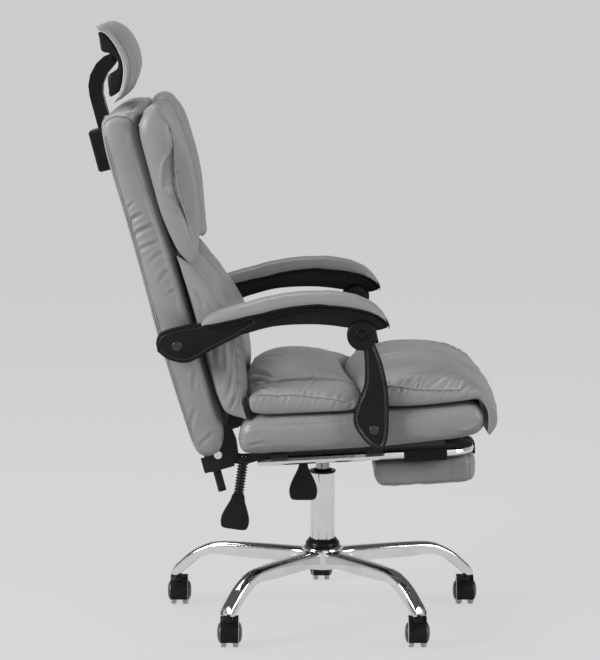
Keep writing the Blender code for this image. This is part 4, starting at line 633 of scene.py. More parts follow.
class Follower:
    """Geometry Nodes trees for what follows a seam: piping, and rows of stitches."""

    def __init__(self) -> None:
        """Build both trees."""
        self.cord = self._cord_tree()
        self.stitch = self._stitch_tree()

    @staticmethod
    def _new_tree(name: str, inputs: Sequence[tuple[str, float]]) -> tuple[bpy.types.NodeTree, NodeBuilder]:
        """Return a tree with a geometry input, float inputs and a material input."""
        tree = bpy.data.node_groups.new(name, "GeometryNodeTree")
        tree.interface.new_socket("Geometry", in_out="INPUT", socket_type="NodeSocketGeometry")
        for label, value in inputs:
            socket = tree.interface.new_socket(label, in_out="INPUT", socket_type="NodeSocketFloat")
            socket.default_value = value
        tree.interface.new_socket("Finish", in_out="INPUT", socket_type="NodeSocketMaterial")
        tree.interface.new_socket("Geometry", in_out="OUTPUT", socket_type="NodeSocketGeometry")
        return tree, NodeBuilder(tree)

    def _cord_tree(self) -> bpy.types.NodeTree:
        """Return the tree that runs a round cord along a path."""
        tree, nodes = self._new_tree("seam_cord", (("Radius", 0.002), ("Step", 0.004)))
        given = nodes.add("NodeGroupInput")
        path = nodes.add("GeometryNodeMeshToCurve", Mesh=given.outputs["Geometry"])
        even = nodes.add("GeometryNodeResampleCurve", Curve=path.outputs[0])
        even.mode = "LENGTH"
        nodes.join(given.outputs["Step"], even.inputs["Length"])
        ring = nodes.add("GeometryNodeCurvePrimitiveCircle", Resolution=8, Radius=given.outputs["Radius"])
        skin = nodes.add("GeometryNodeCurveToMesh", Curve=even.outputs[0], Profile_Curve=ring.outputs[0],
                         Fill_Caps=True)
        dressed = nodes.add("GeometryNodeSetMaterial", Geometry=skin.outputs[0],
            Material=given.outputs["Finish"])
        nodes.add("NodeGroupOutput", Geometry=dressed.outputs[0])
        return tree

    def _stitch_tree(self) -> bpy.types.NodeTree:
        """Return the tree that lays one short stitch at each step of a path."""
        tree, nodes = self._new_tree("stitch_row", (("Spacing", 0.006), ("Length", 0.004),
            ("Radius", 0.0006)))
        given = nodes.add("NodeGroupInput")
        path = nodes.add("GeometryNodeMeshToCurve", Mesh=given.outputs["Geometry"])
        spots = nodes.add("GeometryNodeCurveToPoints", Curve=path.outputs[0])
        spots.mode = "LENGTH"
        nodes.join(given.outputs["Spacing"], spots.inputs["Length"])
        thread = nodes.add("GeometryNodeMeshUVSphere", Segments=6, Rings=5, Radius=0.5)
        sized = nodes.add("ShaderNodeCombineXYZ", X=given.outputs["Radius"], Y=given.outputs["Radius"],
                          Z=given.outputs["Length"])
        laid = nodes.add("GeometryNodeInstanceOnPoints", Points=spots.outputs["Points"],
            Instance=thread.outputs[0], Rotation=spots.outputs["Rotation"], Scale=sized.outputs[0])
        real = nodes.add("GeometryNodeRealizeInstances", Geometry=laid.outputs[0])
        dressed = nodes.add("GeometryNodeSetMaterial", Geometry=real.outputs[0],
            Material=given.outputs["Finish"])
        nodes.add("NodeGroupOutput", Geometry=dressed.outputs[0])
        return tree

    @staticmethod
    def _run(tree: bpy.types.NodeTree, name: str, paths: Sequence[np.ndarray], sizes: dict[str, float],
             finish: Finish) -> bpy.types.Object:
        """Return the plain mesh that a tree makes along some paths."""
        places, edges = [], []
        for path in paths:
            base = len(places)
            places += [tuple(point) for point in path]
            edges += [(base + i, base + i + 1) for i in range(len(path) - 1)]
        mesh = bpy.data.meshes.new(name)
        mesh.from_pydata(places, edges, [])
        piece = show(name, mesh)
        modifier = piece.modifiers.new("follow", "NODES")
        modifier.node_group = tree
        for item in tree.interface.items_tree:
            if item.in_out == "INPUT" and item.name in sizes:
                modifier[item.identifier] = sizes[item.name]
            elif item.in_out == "INPUT" and item.name == "Finish":
                modifier[item.identifier] = finish.build()
        return baked(piece)

    def piping(self, name: str, paths: Sequence[np.ndarray], radius: float, body: str,
            finish: Finish = PIPING, slot: Slot = Slot.LEATHER) -> bpy.types.Object:
        """Return piping along seams, on its body."""
        piece = self._run(self.cord, name, paths, {"Radius": radius, "Step": 0.004}, finish)
        return finish_piece(piece, body, slot, finish=finish, crease=60)

    def stitches(self, name: str, paths: Sequence[np.ndarray], body: str, spacing: float = 0.006,
                 length: float = 0.0042, radius: float = 0.0011, finish: Finish = THREAD) -> bpy.types.Object:
        """Return rows of stitches along seams, on their body."""
        piece = self._run(self.stitch, name, paths, {"Spacing": spacing, "Length": length, "Radius": radius},
            finish)
        return finish_piece(piece, body, Slot.LEATHER, finish=finish, crease=60)


# Padded leather


def wave(along: np.ndarray, seed: int, length: float) -> np.ndarray:
    """Return a smooth wandering value within about -1 and 1.

    Args:
        along: Where to read, in metres.
        seed: Which course it takes.
        length: Its typical wavelength.

    Returns:
        One value for each place.
    """
    dice = np.random.default_rng(seed)
    total = np.zeros_like(along)
    for stretch in (1.0, 0.63, 0.41):
        total += stretch * np.sin(FULL_TURN * along / (length * stretch) + dice.uniform(0, FULL_TURN))
    return total / 1.6


def gathers(along: np.ndarray, away: np.ndarray, pitch: float, height: float, reach: float, seed: int,
            slant: float = 0.0) -> np.ndarray:
    """Return the relief of leather drawn up beside a seam.

    Args:
        along: Distance along the seam.
        away: Distance from it.
        pitch: The mean distance between valleys.
        height: How deep they are beside the seam.
        reach: How far they run from it.
        seed: Which course they take.
        slant: How far they lean along the seam for each metre away from it.

    Returns:
        The offset along the surface's normal.
    """
    phase = FULL_TURN * (along + slant * away) / pitch + 2.2 * wave(along, seed, pitch * 5)
    valley = ((1 + np.cos(phase)) / 2) ** 2
    strength = 0.55 + 0.45 * wave(along, seed + 1, pitch * 3)
    length = reach * (0.75 + 0.35 * wave(along, seed + 2, pitch * 2.3))
    return height * strength * (0.35 - valley) * np.exp(-(away / np.maximum(length, 0.004)) ** 2)


def groove(distance: np.ndarray, depth: float, width: float) -> np.ndarray:
    """Return the relief of a sewn channel at a distance from its seam."""
    return -depth * np.exp(-(distance / width) ** 2)


def fold(first: np.ndarray, second: np.ndarray, start: Pair, end: Pair, width: float, depth: float,
         bow: float = 0.0) -> np.ndarray:
    """Return the relief of one fold: a valley beside a ridge, dying out at both ends.

    Args:
        first: The surface's first coordinate.
        second: Its second coordinate.
        start: Where the fold starts.
        end: Where it ends.
        width: The valley's half width.
        depth: Its depth.
        bow: How far the fold bends sideways at its middle.

    Returns:
        The offset along the surface's normal.
    """
    run = np.subtract(end, start)
    length = np.hypot(*run)
    run = run / length
    part = ((first - start[0]) * run[0] + (second - start[1]) * run[1]) / length
    off = (second - start[1]) * run[0] - (first - start[0]) * run[1]
    inside = np.clip(part, 0, 1)
    off = off - bow * 4 * inside * (1 - inside)
    taper = np.clip(np.sin(math.pi * np.clip(part, 0, 1)), 0, 1) ** 0.7 * (part > 0) * (part < 1)
    return depth * taper * (0.8 * np.exp(-((off - 1.5 * width) / width) ** 2) - np.exp(-(off / width) ** 2)
                            + 0.35 * np.exp(-((off + 1.7 * width) / width) ** 2))


def folds(first: np.ndarray, second: np.ndarray, rows: Sequence[tuple], share: float = 1.0) -> np.ndarray:
    """Return the relief of several folds.

    Args:
        first: The surface's first coordinate.
        second: Its second coordinate.
        rows: Each fold's start, end, width, depth and bow.
        share: The share of their depth that they keep.

    Returns:
        The offset along the surface's normal.
    """
    return sum(fold(first, second, start, end, width, share * depth, bow)
               for start, end, width, depth, bow in rows)


@dataclass
class Skin:
    """The points of a padded form as its details see them, in its carrier's frame."""

    places: np.ndarray
    along: np.ndarray
    across: np.ndarray
    front: np.ndarray
    side: np.ndarray

    @property
    def forward(self) -> np.ndarray:
        """Return the first local coordinate: forwards."""
        return self.places[:, 0]

    @property
    def sideways(self) -> np.ndarray:
        """Return the distance to the chair's left."""
        return self.places[:, 1]

    @property
    def upward(self) -> np.ndarray:
        """Return the third local coordinate: up out of the carrier."""
        return self.places[:, 2]

    def inward(self, half: float) -> np.ndarray:
        """Return the distance in from the nearer side's edge, for a half width."""
        return np.clip((1 - np.abs(self.across)) * half, 0, 1)

    def gathered(self, along: np.ndarray, away: np.ndarray, pitch: float, height: float, reach: float,
                 seed: int, slant: float) -> np.ndarray:
        """Return the relief of gathers() on both halves, each with a course of its own."""
        return sum((np.sign(self.across) == sign) * gathers(along, away, pitch, height, reach, seed + sign,
            slant) for sign in (-1, 1))


@dataclass
class PaddedForm:
    """A cushion whose outer and inner faces are carried across its width through key profiles.

    Each key gives a place across half the width, from the middle outwards, with the outer face's
    profile and the inner face's. Both run between the same two tips.
    """

    name: str
    matrix: Matrix
    keys: Sequence[tuple[float, Profile, Profile]]
    columns: int = 56
    rows: int = 64
    side_steps: int = 8
    bulge: float = 0.006
    swell: float = 0.006
    pressure: float = 4.0
    seams: Sequence[float] = ()

    def build(self, relief: Callable[[Skin], np.ndarray] | None = None) -> bpy.types.Object:
        """Return the padded piece, swollen and with its details.

        Args:
            relief: Gives the offset of each point along its normal.

        Returns:
            The piece, with its mesh in the world's frame.
        """
        piece = show(self.name, self._cage())
        self._swell(piece)
        subdivided(piece)
        if relief is not None:
            self._detail(piece, relief)
        return piece

    def seam_path(self, share: float, start: float = 0.0, end: float = 1.0) -> np.ndarray:
        """Return the outer face's line at a share of the half width, as the bare cage has it."""
        half = self.keys[-1][0]
        front, _ = self._faces(np.array([abs(share) * half]))
        line = front[0][int(start * (self.columns - 1)):int(end * (self.columns - 1)) + 1]
        local = np.column_stack((line[:, 0], np.full(len(line), share * half), line[:, 1]))
        return to_world(local, self.matrix)

    def seams_on(self, piece: bpy.types.Object, lift: float, start: float = 0.0, end: float = 1.0,
                 share: float = 1.0) -> list[np.ndarray]:
        """Return both sides' seams, laid on the finished piece.

        Args:
            piece: The piece.
            lift: How far above its surface they lie.
            start: The share of the profile where they start.
            end: The share where they end.
            share: Their share of the half width.

        Returns:
            One path for each side.
        """
        return [on_surface(piece, self.seam_path(sign * share, start, end), lift) for sign in (-1, 1)]

    def upholstered(self, relief: Callable[[Skin], np.ndarray], body: str, node: str) -> bpy.types.Object:
        """Return the leather piece on its body.

        Args:
            relief: Gives the offset of each point along its normal.
            body: The body that it rides on.
            node: The CAD node that it stands for.

        Returns:
            The piece.
        """
        piece = self.build(relief)
        finish_piece(piece, body, Slot.LEATHER, (node,), crease=80)
        return piece

    def _faces(self, marks: np.ndarray) -> tuple[np.ndarray, np.ndarray]:
        """Return both faces' profiles at distances from the middle."""
        keys = sorted({-key[0] for key in self.keys} | {key[0] for key in self.keys})
        by_place = {round(key[0], 6): key for key in self.keys}
        outer = np.stack([catmull(by_place[round(abs(k), 6)][1], self.columns) for k in keys])
        inner = np.stack([catmull(by_place[round(abs(k), 6)][2], self.columns) for k in keys])
        return eased(marks, keys, outer), eased(marks, keys, inner)

    def _cage(self) -> bpy.types.Mesh:
        """Return the closed quad mesh, with its surface coordinates as attributes."""
        half = self.keys[-1][0]
        turn = np.linspace(-1, 1, self.rows)
        marks = half * np.sin(turn * math.pi / 2 * 0.55) / math.sin(math.pi / 2 * 0.55)
        front, rear = self._faces(marks)
        count = self.columns
        places, faces, facts = [], [], []
        loop = 2 * count - 2
        for row, across in enumerate(marks):
            for i in range(count):
                places.append((front[row, i, 0], across, front[row, i, 1]))
                facts.append((i / (count - 1), across / half, 1.0, 0.0))
            for i in range(count - 2, 0, -1):
                places.append((rear[row, i, 0], across, rear[row, i, 1]))
                facts.append((i / (count - 1), across / half, 0.0, 0.0))
        for row in range(self.rows - 1):
            for i in range(loop):
                j = (i + 1) % loop
                faces.append((row * loop + i, row * loop + j, (row + 1) * loop + j, (row + 1) * loop + i))
        thickness = np.linalg.norm(front[0] - rear[0], axis=1)
        share = thickness / thickness.max()
        for row, sign in ((0, -1), (self.rows - 1, 1)):
            base = len(places)
            for i in range(1, count - 1):
                for k in range(1, self.side_steps):
                    part = k / self.side_steps
                    x, z = front[row, i] * (1 - part) + rear[row, i] * part
                    out = self.bulge * (4 * part * (1 - part)) ** 0.7 * share[i]
                    places.append((x, marks[row] + sign * out, z))
                    facts.append((i / (count - 1), sign * 1.0, 0.0, 1.0))

            def corner(i: int, k: int) -> int:
                """Return the point of the side ladder at a column and step."""
                if k == 0 or i in (0, count - 1):
                    return row * loop + i
                if k == self.side_steps:
                    return row * loop + loop - i
                return base + (i - 1) * (self.side_steps - 1) + k - 1

            for i in range(count - 1):
                for k in range(self.side_steps):
                    ring = [corner(i, k), corner(i, k + 1), corner(i + 1, k + 1), corner(i + 1, k)]
                    ring = [index for n, index in enumerate(ring) if index not in ring[:n]]
                    if len(ring) > 2:
                        faces.append(tuple(ring))
        mesh = new_mesh(self.name, to_world(np.array(places), self.matrix), faces)
        for column, label in enumerate(("along", "across", "front", "side")):
            layer = mesh.attributes.new(label, "FLOAT", "POINT")
            layer.data.foreach_set("value", np.array(facts, dtype=np.float32)[:, column].copy())
        return mesh

    def _fact(self, mesh: bpy.types.Mesh, label: str) -> np.ndarray:
        """Return one surface coordinate of the mesh's points."""
        values = np.empty(len(mesh.vertices), dtype=np.float32)
        mesh.attributes[label].data.foreach_get("value", values)
        return values.astype(float)

    def _swell(self, piece: bpy.types.Object) -> None:
        """Blow the cover up between its seams with a cloth simulation, and cap how far it moves."""
        if self.swell <= 0:
            return
        mesh = piece.data
        before = coordinates(mesh)
        across, front = self._fact(mesh, "across"), self._fact(mesh, "front")
        side = self._fact(mesh, "side")
        held = (front < 0.5) & (side < 0.5)
        held |= (np.abs(across) > 0.985) & (side < 0.5)
        for seam in self.seams:
            held |= np.abs(np.abs(across) - seam) < 0.012
        group = piece.vertex_groups.new(name="sewn")
        group.add([int(i) for i in np.nonzero(held)[0]], 1.0, "REPLACE")
        modifier = piece.modifiers.new("swelling", "CLOTH")
        cloth = modifier.settings
        cloth.quality = 4
        cloth.mass = 0.3
        cloth.tension_stiffness = cloth.compression_stiffness = 8.0
        cloth.shear_stiffness = 4.0
        cloth.bending_stiffness = 0.4
        cloth.use_pressure = True
        cloth.uniform_pressure_force = self.pressure
        cloth.effector_weights.gravity = 0.0
        cloth.vertex_group_mass = group.name
        modifier.collision_settings.use_collision = False
        modifier.point_cache.frame_start = 1
        modifier.point_cache.frame_end = 20
        scene = bpy.context.scene
        for step in range(1, 21):
            scene.frame_set(step)
        graph = bpy.context.evaluated_depsgraph_get()
        after = coordinates(piece.evaluated_get(graph).data)
        piece.modifiers.clear()
        piece.vertex_groups.clear()
        scene.frame_set(1)
        move = after - before
        size = np.linalg.norm(move, axis=1)
        limit = self.swell * np.tanh(size / self.swell) / np.maximum(size, 1e-9)
        place_points(mesh, before + move * limit[:, None])

    def _detail(self, piece: bpy.types.Object, relief: Callable[[Skin], np.ndarray]) -> None:
        """Move each point along its normal by the relief."""
        mesh = piece.data
        places = coordinates(mesh)
        skin = Skin(to_local(places, self.matrix), self._fact(mesh, "along"), self._fact(mesh, "across"),
                    self._fact(mesh, "front"), self._fact(mesh, "side"))
        place_points(mesh, places + directions(mesh) * relief(skin)[:, None])


def shrunk(top: Profile, under: Profile, by: float) -> tuple[Profile, Profile]:
    """Return both profiles drawn in towards their middle by a distance."""
    both = np.array(list(top) + list(under))
    centre = (both.max(axis=0) + both.min(axis=0)) / 2
    span = (both.max(axis=0) - both.min(axis=0)) / 2
    scale = (span - by) / span
    return tuple([tuple(centre + (np.array(p) - centre) * scale) for p in line] for line in (top, under))


def mixed(first: tuple, second: tuple, share: float) -> tuple:
    """Return the mix of two keys' profiles, with a share of the first."""
    return tuple([tuple(share * np.array(a) + (1 - share) * np.array(b)) for a, b in zip(one, other)]
                 for one, other in zip(first, second))


def on_surface(piece: bpy.types.Object, path: np.ndarray, lift: float = 0.0) -> np.ndarray:
    """Return a path laid on a piece's surface.

    Args:
        piece: The piece.
        path: World points near its surface.
        lift: How far above the surface the path lies.

    Returns:
        The points on the surface, smoothed.
    """
    laid = []
    for point in path:
        found, place, normal, _ = piece.closest_point_on_mesh(Vector(point))
        laid.append(place + normal * lift if found else Vector(point))
    rows = np.array(laid)
    for _ in range(2):
        rows[1:-1] = (rows[:-2] + 2 * rows[1:-1] + rows[2:]) / 4
    return rows


def flat_path(matrix: Matrix, points: Profile, across: float, count: int = 60) -> np.ndarray:
    """Return a smooth path in a carrier's plane at one distance from the chair's middle."""
    line = catmull(points, count)
    return to_world(np.column_stack((line[:, 0], np.full(count, across), line[:, 1])), matrix)


# Seat


@dataclass
class Seat:
    """The seat: box cushion, rear pad and the front pad that rolls over the edge."""

    carriers: Carriers
    follower: Follower
    box_half: float = 0.256
    pad_half: float = 0.253

    def build(self) -> None:
        """Build the seat's soft pieces."""
        self._box()
        self._rear_pad()
        self._front_pad()

    def _box(self) -> None:
        """Build the box cushion with its puckered seam."""
        top = mm([(-166, 34), (-163, 56), (-146, 74), (-100, 81.5), (0, 82), (120, 82.5), (240, 83.5),
            (285, 85), (308, 79), (320, 60), (320, 44)])
        under = mm([(-166, 34), (-163, 16), (-150, 5), (-100, 3), (0, 3.5), (120, 5), (240, 11.5), (282, 16),
            (304, 22), (315, 33), (320, 44)])
        inset = shrunk(top, under, 0.014)
        slight = shrunk(top, under, 0.004)
        form = PaddedForm("box_cushion", self.carriers.seat, ((0.0, top, under), (0.225, top, under),
            (0.246, *slight), (0.252, *inset)), columns=88, rows=60, side_steps=12, bulge=0.004, swell=0.004)

        def relief(skin: Skin) -> np.ndarray:
            """Return the seam's puckers, the soft hollows and the front corner's wrinkles."""
            line = np.interp(skin.forward, (-0.157, -0.127, -0.02, 0.053, 0.133, 0.198, 0.307),
                (0.052, 0.0605, 0.059, 0.0625, 0.0645, 0.0668, 0.0765))
            off = skin.upward - line
            offset = np.zeros(len(off))
            for sign in (-1, 1):
                there = (skin.side > 0.3) & (np.sign(skin.sideways) == sign)
                pull = gathers(skin.forward, np.abs(off), 0.0075, 0.0016, 0.009, 11 + 40 * (sign > 0), 0.25)
                offset += there * (pull + groove(off, 0.001, 0.0022))
            offset += skin.side * 0.0012 * wave(skin.forward + 0.6 * skin.upward, 5, 0.13)
            rows = mm((((262, 20), (316, 40), 3.5, 2.2, 0), ((255, 28), (300, 30), 3, 1.4, 0),
                ((285, 14), (318, 28), 2.6, 1.6, 0), ((-160, 20), (-110, 30), 4, 1.5, 0)))
            return offset + skin.side * folds(skin.forward, skin.upward, rows)

        form.upholstered(relief, "seat", "seat_cushion")

    def _rear_pad(self) -> None:
        """Build the rear pad: a crowned middle between two lower side panels."""
        side = mm(([(-139, 104), (-136, 120), (-111, 123.8), (-87, 120.5), (-53, 120.5), (-20, 114.5),
            (18, 109), (43, 102.5), (64, 95), (74, 90)], [(-139, 104), (-135, 90), (-111, 83.5), (-67, 82.5),
            (16, 82.2), (55, 82.8), (74, 90)]))
        shoulder = mm(([(-144, 104), (-142, 120), (-120, 128.5), (-87, 131), (-40, 133), (0, 134), (35, 133),
            (62, 124), (78, 108), (78, 96)], [(-144, 104), (-138, 90), (-111, 83.2), (-67, 83), (16, 83),
            (60, 83.8), (78, 96)]))
        crown = mm(([(-149, 104), (-149, 128), (-132, 154), (-100, 169), (-60, 174.5), (-15, 170), (22, 157),
            (42, 138), (49, 116), (45, 98)], [(-149, 104), (-140, 90), (-111, 83.2), (-67, 83), (0, 83),
            (34, 86), (45, 98)]))
        form = PaddedForm("rear_seat_pad", self.carriers.seat, ((0.0, *crown),
            (0.095, *mixed(shoulder, crown, 0.45)), (0.175, *shoulder), (0.253, *side)), columns=46, rows=76,
            side_steps=8, bulge=0.005, swell=0.006, seams=(0.69,))

        def relief(skin: Skin) -> np.ndarray:
            """Return the channels, the gathers along the piping and the folds from the back."""
            from_seam = (np.abs(skin.across) - 0.69) * self.pad_half
            offset = skin.front * groove(from_seam, 0.009, 0.005)
            top_edge = np.interp(skin.forward, (-0.139, -0.111, -0.053, 0.018, 0.043, 0.074),
                (0.122, 0.1235, 0.1205, 0.109, 0.1025, 0.09))
            below = np.clip(top_edge - skin.upward, 0, 1)
            offset += skin.side * skin.gathered(skin.forward, below, 0.015, 0.0032, 0.02, 21, 0.5)
            inward = skin.inward(self.pad_half)
            offset += skin.front * skin.gathered(skin.forward, inward, 0.017, 0.0034, 0.024, 31, -0.4)
            offset += skin.front * skin.gathered(skin.forward, np.abs(from_seam), 0.028, 0.0022, 0.03, 61,
                0.3)
            rows = mm((((-140, 60), (-85, 170), 6, 4.2, 6), ((-142, 120), (-105, 170), 5, 3.6, 4),
                ((-138, 20), (-60, 90), 7, 2.6, -8), ((0, 30), (40, 120), 6, 2.6, 4),
                ((-132, 190), (-90, 235), 5, 3.2, 4)))
            for sign in (-1, 1):
                offset += skin.front * folds(skin.forward, sign * skin.sideways, rows)
            return offset

        piece = form.upholstered(relief, "seat", "seat_pad_rear")
        self.follower.piping("rear_pad_piping", form.seams_on(piece, 0.0005, 0.06), 0.0021, "seat")

    def _front_pad(self) -> None:
        """Build the front pad, gathered along its sides, with its apron over the front edge."""
        side = mm(([(92, 104), (102, 126.2), (133.5, 127.2), (156, 124.5), (189, 118.6), (222, 114.6),
            (267, 113), (300, 111.5), (315, 105), (319, 96), (326.5, 84), (329.5, 62), (329, 45), (325.5, 32),
            (320.5, 24)], [(92, 104), (100, 91.5), (135, 86.8), (176, 85.2), (221, 86.6), (262, 89),
            (288, 91.2), (306, 92.5), (315, 84), (322.8, 69), (324.5, 56), (324, 44), (322.2, 33),
            (320.5, 24)]))
        crest = mm(([(86, 104), (90, 128), (120, 137.5), (160, 141.5), (190, 142), (224, 137.5), (256, 133.5),
            (278, 127), (298, 114), (320, 96), (337, 74), (343, 52), (339.5, 30), (326.5, 13)],
            [(86, 104), (92, 90), (135, 85), (176, 84.5), (221, 85.5), (262, 87.5), (288, 89), (306, 87),
            (318, 78), (324.8, 64), (325.5, 50), (324, 36), (323.2, 22), (326.5, 13)]))
        crown = mm(([(54, 100), (50, 126), (66, 149), (98, 164), (140, 169.5), (185, 168.5), (226, 164),
            (258, 154), (288, 135), (318, 111), (340, 82), (352, 48), (350, 20), (331.5, -6)],
            [(54, 100), (64, 87), (120, 84), (176, 84), (221, 85), (262, 86.5), (288, 88), (306, 87),
            (320, 78.5), (326, 62), (326.2, 45), (324, 24), (323.5, 5), (331.5, -6)]))
        form = PaddedForm("front_seat_pad", self.carriers.seat,
            ((0.0, *crown), (0.125, *mixed(crest, crown, 0.42)), (0.226, *crest), (0.253, *side)), columns=84,
            rows=80, side_steps=8, bulge=0.006, swell=0.004, seams=(0.9,))

        def relief(skin: Skin) -> np.ndarray:
            """Return the gathered side panels, the piping's puckers and the broad diagonal folds."""
            offset = np.zeros(len(skin.along))
            top = np.clip((0.315 - skin.forward) / 0.03, 0, 1) * np.clip((skin.forward - 0.09) / 0.03, 0, 1)
            edge = np.interp(skin.forward, (0.1, 0.1335, 0.189, 0.222, 0.322),
                (0.127, 0.1272, 0.1186, 0.1146, 0.11))
            below = np.clip(edge - skin.upward, 0, 1)
            offset += skin.side * top * skin.gathered(skin.forward, below, 0.013, 0.004, 0.016, 71, 0.6)
            inward = skin.inward(self.pad_half)
            away = np.minimum(inward, np.clip(skin.upward - edge, 0, 1) * 1.2)
            offset += skin.front * top * skin.gathered(skin.forward, away, 0.0165, 0.0058, 0.026, 81, -0.9)
            apron = np.clip((skin.forward - 0.31) / 0.02, 0, 1)
            offset += skin.front * apron * skin.gathered(skin.upward, inward, 0.021, 0.0034, 0.022, 91, 0.5)
            rows = mm((((115, 100), (265, 30), 9, 4.2, 12), ((150, 200), (285, 120), 7, 3.6, 10),
                ((240, 225), (290, 160), 5, 5, 4), ((262, 232), (318, 175), 5, 5.6, 6),
                ((275, 80), (325, 20), 7, 3, 4), ((95, 170), (130, 100), 6, 3.4, -4)))
            deep = [row for row in rows if row[3] > 0.0035]
            for across, some in ((skin.sideways, deep), (-skin.sideways, rows)):
                offset += skin.front * folds(skin.forward, across, some) * (skin.upward > 0.085)
            low = np.clip((0.1 - skin.upward) / 0.02, 0, 1) * skin.front
            offset += low * 0.0016 * wave(skin.sideways * 0.8 + skin.upward, 7, 0.09)
            return offset

        piece = form.upholstered(relief, "seat", "seat_pad_front")
        self.follower.piping("front_pad_piping", form.seams_on(piece, 0.0006, 0.04, 0.6), 0.0022, "seat")


# Back


@dataclass
class Back:
    """The back: its cushion, the winged upper pillow and the lumbar pillow."""

    carriers: Carriers
    follower: Follower
    body_half: float = 0.256
    pillow_half: float = 0.25

    def build(self) -> None:
        """Build the back's soft pieces."""
        self._body()
        self._upper_pillow()
        self._lumbar_pillow()

    def _body(self) -> None:
        """Build the back cushion: side panels, a top panel and the zip down its rear edge."""
        front = mm([(-4, 701.5), (12, 700), (26, 694.5), (28, 688), (24.2, 676), (23.5, 660), (23.5, 600),
            (23.5, 450), (23.5, 300), (23.5, 150), (23.5, 60), (18, 22), (6, 7.5), (-6, 4.5)])
        rear = mm([(-4, 701.5), (-24, 700.5), (-39.5, 696), (-48, 687), (-52, 667), (-54.5, 637),
            (-54.5, 590), (-52, 500), (-51, 390), (-51.5, 270), (-49, 190), (-44.5, 90), (-41, 40), (-34, 15),
            (-20, 6), (-6, 4.5)])
        rounds = mm(((229, 0, 3.2), (240, 0.1, 9), (248, 2.5, 17.5), (252.5, 8, 31)))
        edges = [(y, *self._rounded_off(front, rear, by, front_by)) for y, by, front_by in rounds]
        rounder = [(u - 0.004 * math.sin(math.pi * (w - 0.0045) / 0.6985), w) for u, w in rear]
        form = PaddedForm("back_body", self.carriers.back, ((0.0, front, rounder), (0.13, front, rear),
            (0.214, front, rear), *edges), columns=110, rows=60, side_steps=12, bulge=0.005, swell=0.003)

        def relief(skin: Skin) -> np.ndarray:
            """Return the corner seam, the slanted wrinkles and the soft creases of the side panel."""
            u, w, side = skin.forward, skin.upward, skin.side
            top = np.interp(u, (-0.0438, -0.0371, -0.0256, -0.0133, -0.0005, 0.0112, 0.0184),
                (0.6838, 0.6901, 0.6932, 0.6927, 0.6875, 0.6783, 0.6658))
            offset = side * groove(w - top, 0.0022, 0.0024)
            offset += side * 0.0016 * np.clip((w - top) / 0.004, 0, 1)
            rows = mm((((-46, 490), (-14, 500), 4.2, 4, 2), ((-45, 462), (-2, 472), 4.5, 5, 3),
                ((-45, 432), (2, 440), 4, 4, 2), ((-44, 515), (-22, 527), 3.4, 2.6, 1),
                ((-30, 402), (10, 420), 4.5, 2.2, 3), ((-22, 360), (12, 385), 5, 2.2, 3),
                ((-12, 335), (14, 345), 3.4, 2, 0), ((-4, 655), (6, 560), 4, 2.8, 3),
                ((6, 640), (12, 540), 3.4, 2.4, 2), ((-38, 65), (-12, 110), 5, 2.4, 3),
                ((-30, 30), (10, 52), 4.5, 2.4, 2), ((-10, 140), (14, 200), 4, 2.6, 3),
                ((0, 250), (14, 170), 4, 2.2, 2)))
            offset += side * folds(u, w, rows, 0.7)
            offset += side * 0.0012 * wave(w + 0.8 * u, 3, 0.16)
            edge = np.interp(w, (0.3, 0.3674, 0.406, 0.4515, 0.5112, 0.5625, 0.6065, 0.6405),
                (0.012, 0.0118, 0.01, 0.0058, 0.0016, -0.0049, -0.0061, -0.0027))
            offset += side * groove(u - edge, 0.0012, 0.002) * (w > 0.3) * (w < 0.645)
            back_side = np.clip((-0.03 - u) / 0.012, 0, 1) * (1 - side)
            edge = np.abs(np.abs(skin.across) * self.body_half - 0.215)
            offset += back_side * groove(edge, 0.0018, 0.0028)
            offset += back_side * (np.abs(w - 0.1) < 0.02) * groove(w - 0.1, 0.0014, 0.0026)
            above = np.clip((w - 0.686) / 0.006, 0, 1) * (1 - side)
            for sign in (-1, 1):
                y = sign * skin.sideways
                offset += above * fold(y, u, (0.25, 0.014), (0.06, 0.008), 0.005, 0.003, 0.002)
                offset += above * fold(y, u, (0.246, 0.008), (0.13, -0.022), 0.005, 0.002, -0.004)
            return offset

        piece = form.upholstered(relief, "back", "back_cushion")
        zips, tops, rows = [], [], []
        zip_line = mm(((-47.5, 662), (-48.7, 645), (-48.5, 580), (-46.5, 500), (-45.5, 390), (-46, 270),
            (-43.5, 190), (-39, 90), (-36, 45)))
        top_line = mm(((-41.5, 685.5), (-37.1, 690.1), (-25.6, 693.2), (-13.3, 692.7), (-0.5, 687.5),
            (11.2, 678.3), (18.4, 665.8)))
        side_line = mm(((-2.7, 640.5), (-6.1, 606.5), (-4.9, 562.5), (1.6, 511.2), (5.8, 451.5), (10, 406),
            (11.8, 367.4), (12, 300)))
        for sign in (-1, 1):
            across = sign * (self.body_half - 0.0045)
            for paths, line, count, lift in ((zips, zip_line, 120, 0.0002), (tops, top_line, 40, 0.0001),
                                             (rows, side_line, 90, 0.0001)):
                paths.append(on_surface(piece, flat_path(self.carriers.back, line, across, count), lift))
        self.follower.piping("back_zips", zips, 0.0017, "back", ZIP_TAPE)
        self.follower.piping("back_top_seams", tops, 0.0007, "back", ZIP_TAPE)
        self.follower.stitches("back_side_seams", rows, "back", 0.0064, 0.0034, 0.0006, ZIP_TAPE)
        lip = [path + np.array((0.0025, 0, 0.0006)) for path in zips]
        self.follower.piping("back_zip_lips", [on_surface(piece, path, 0.0006) for path in lip], 0.0016,
            "back")

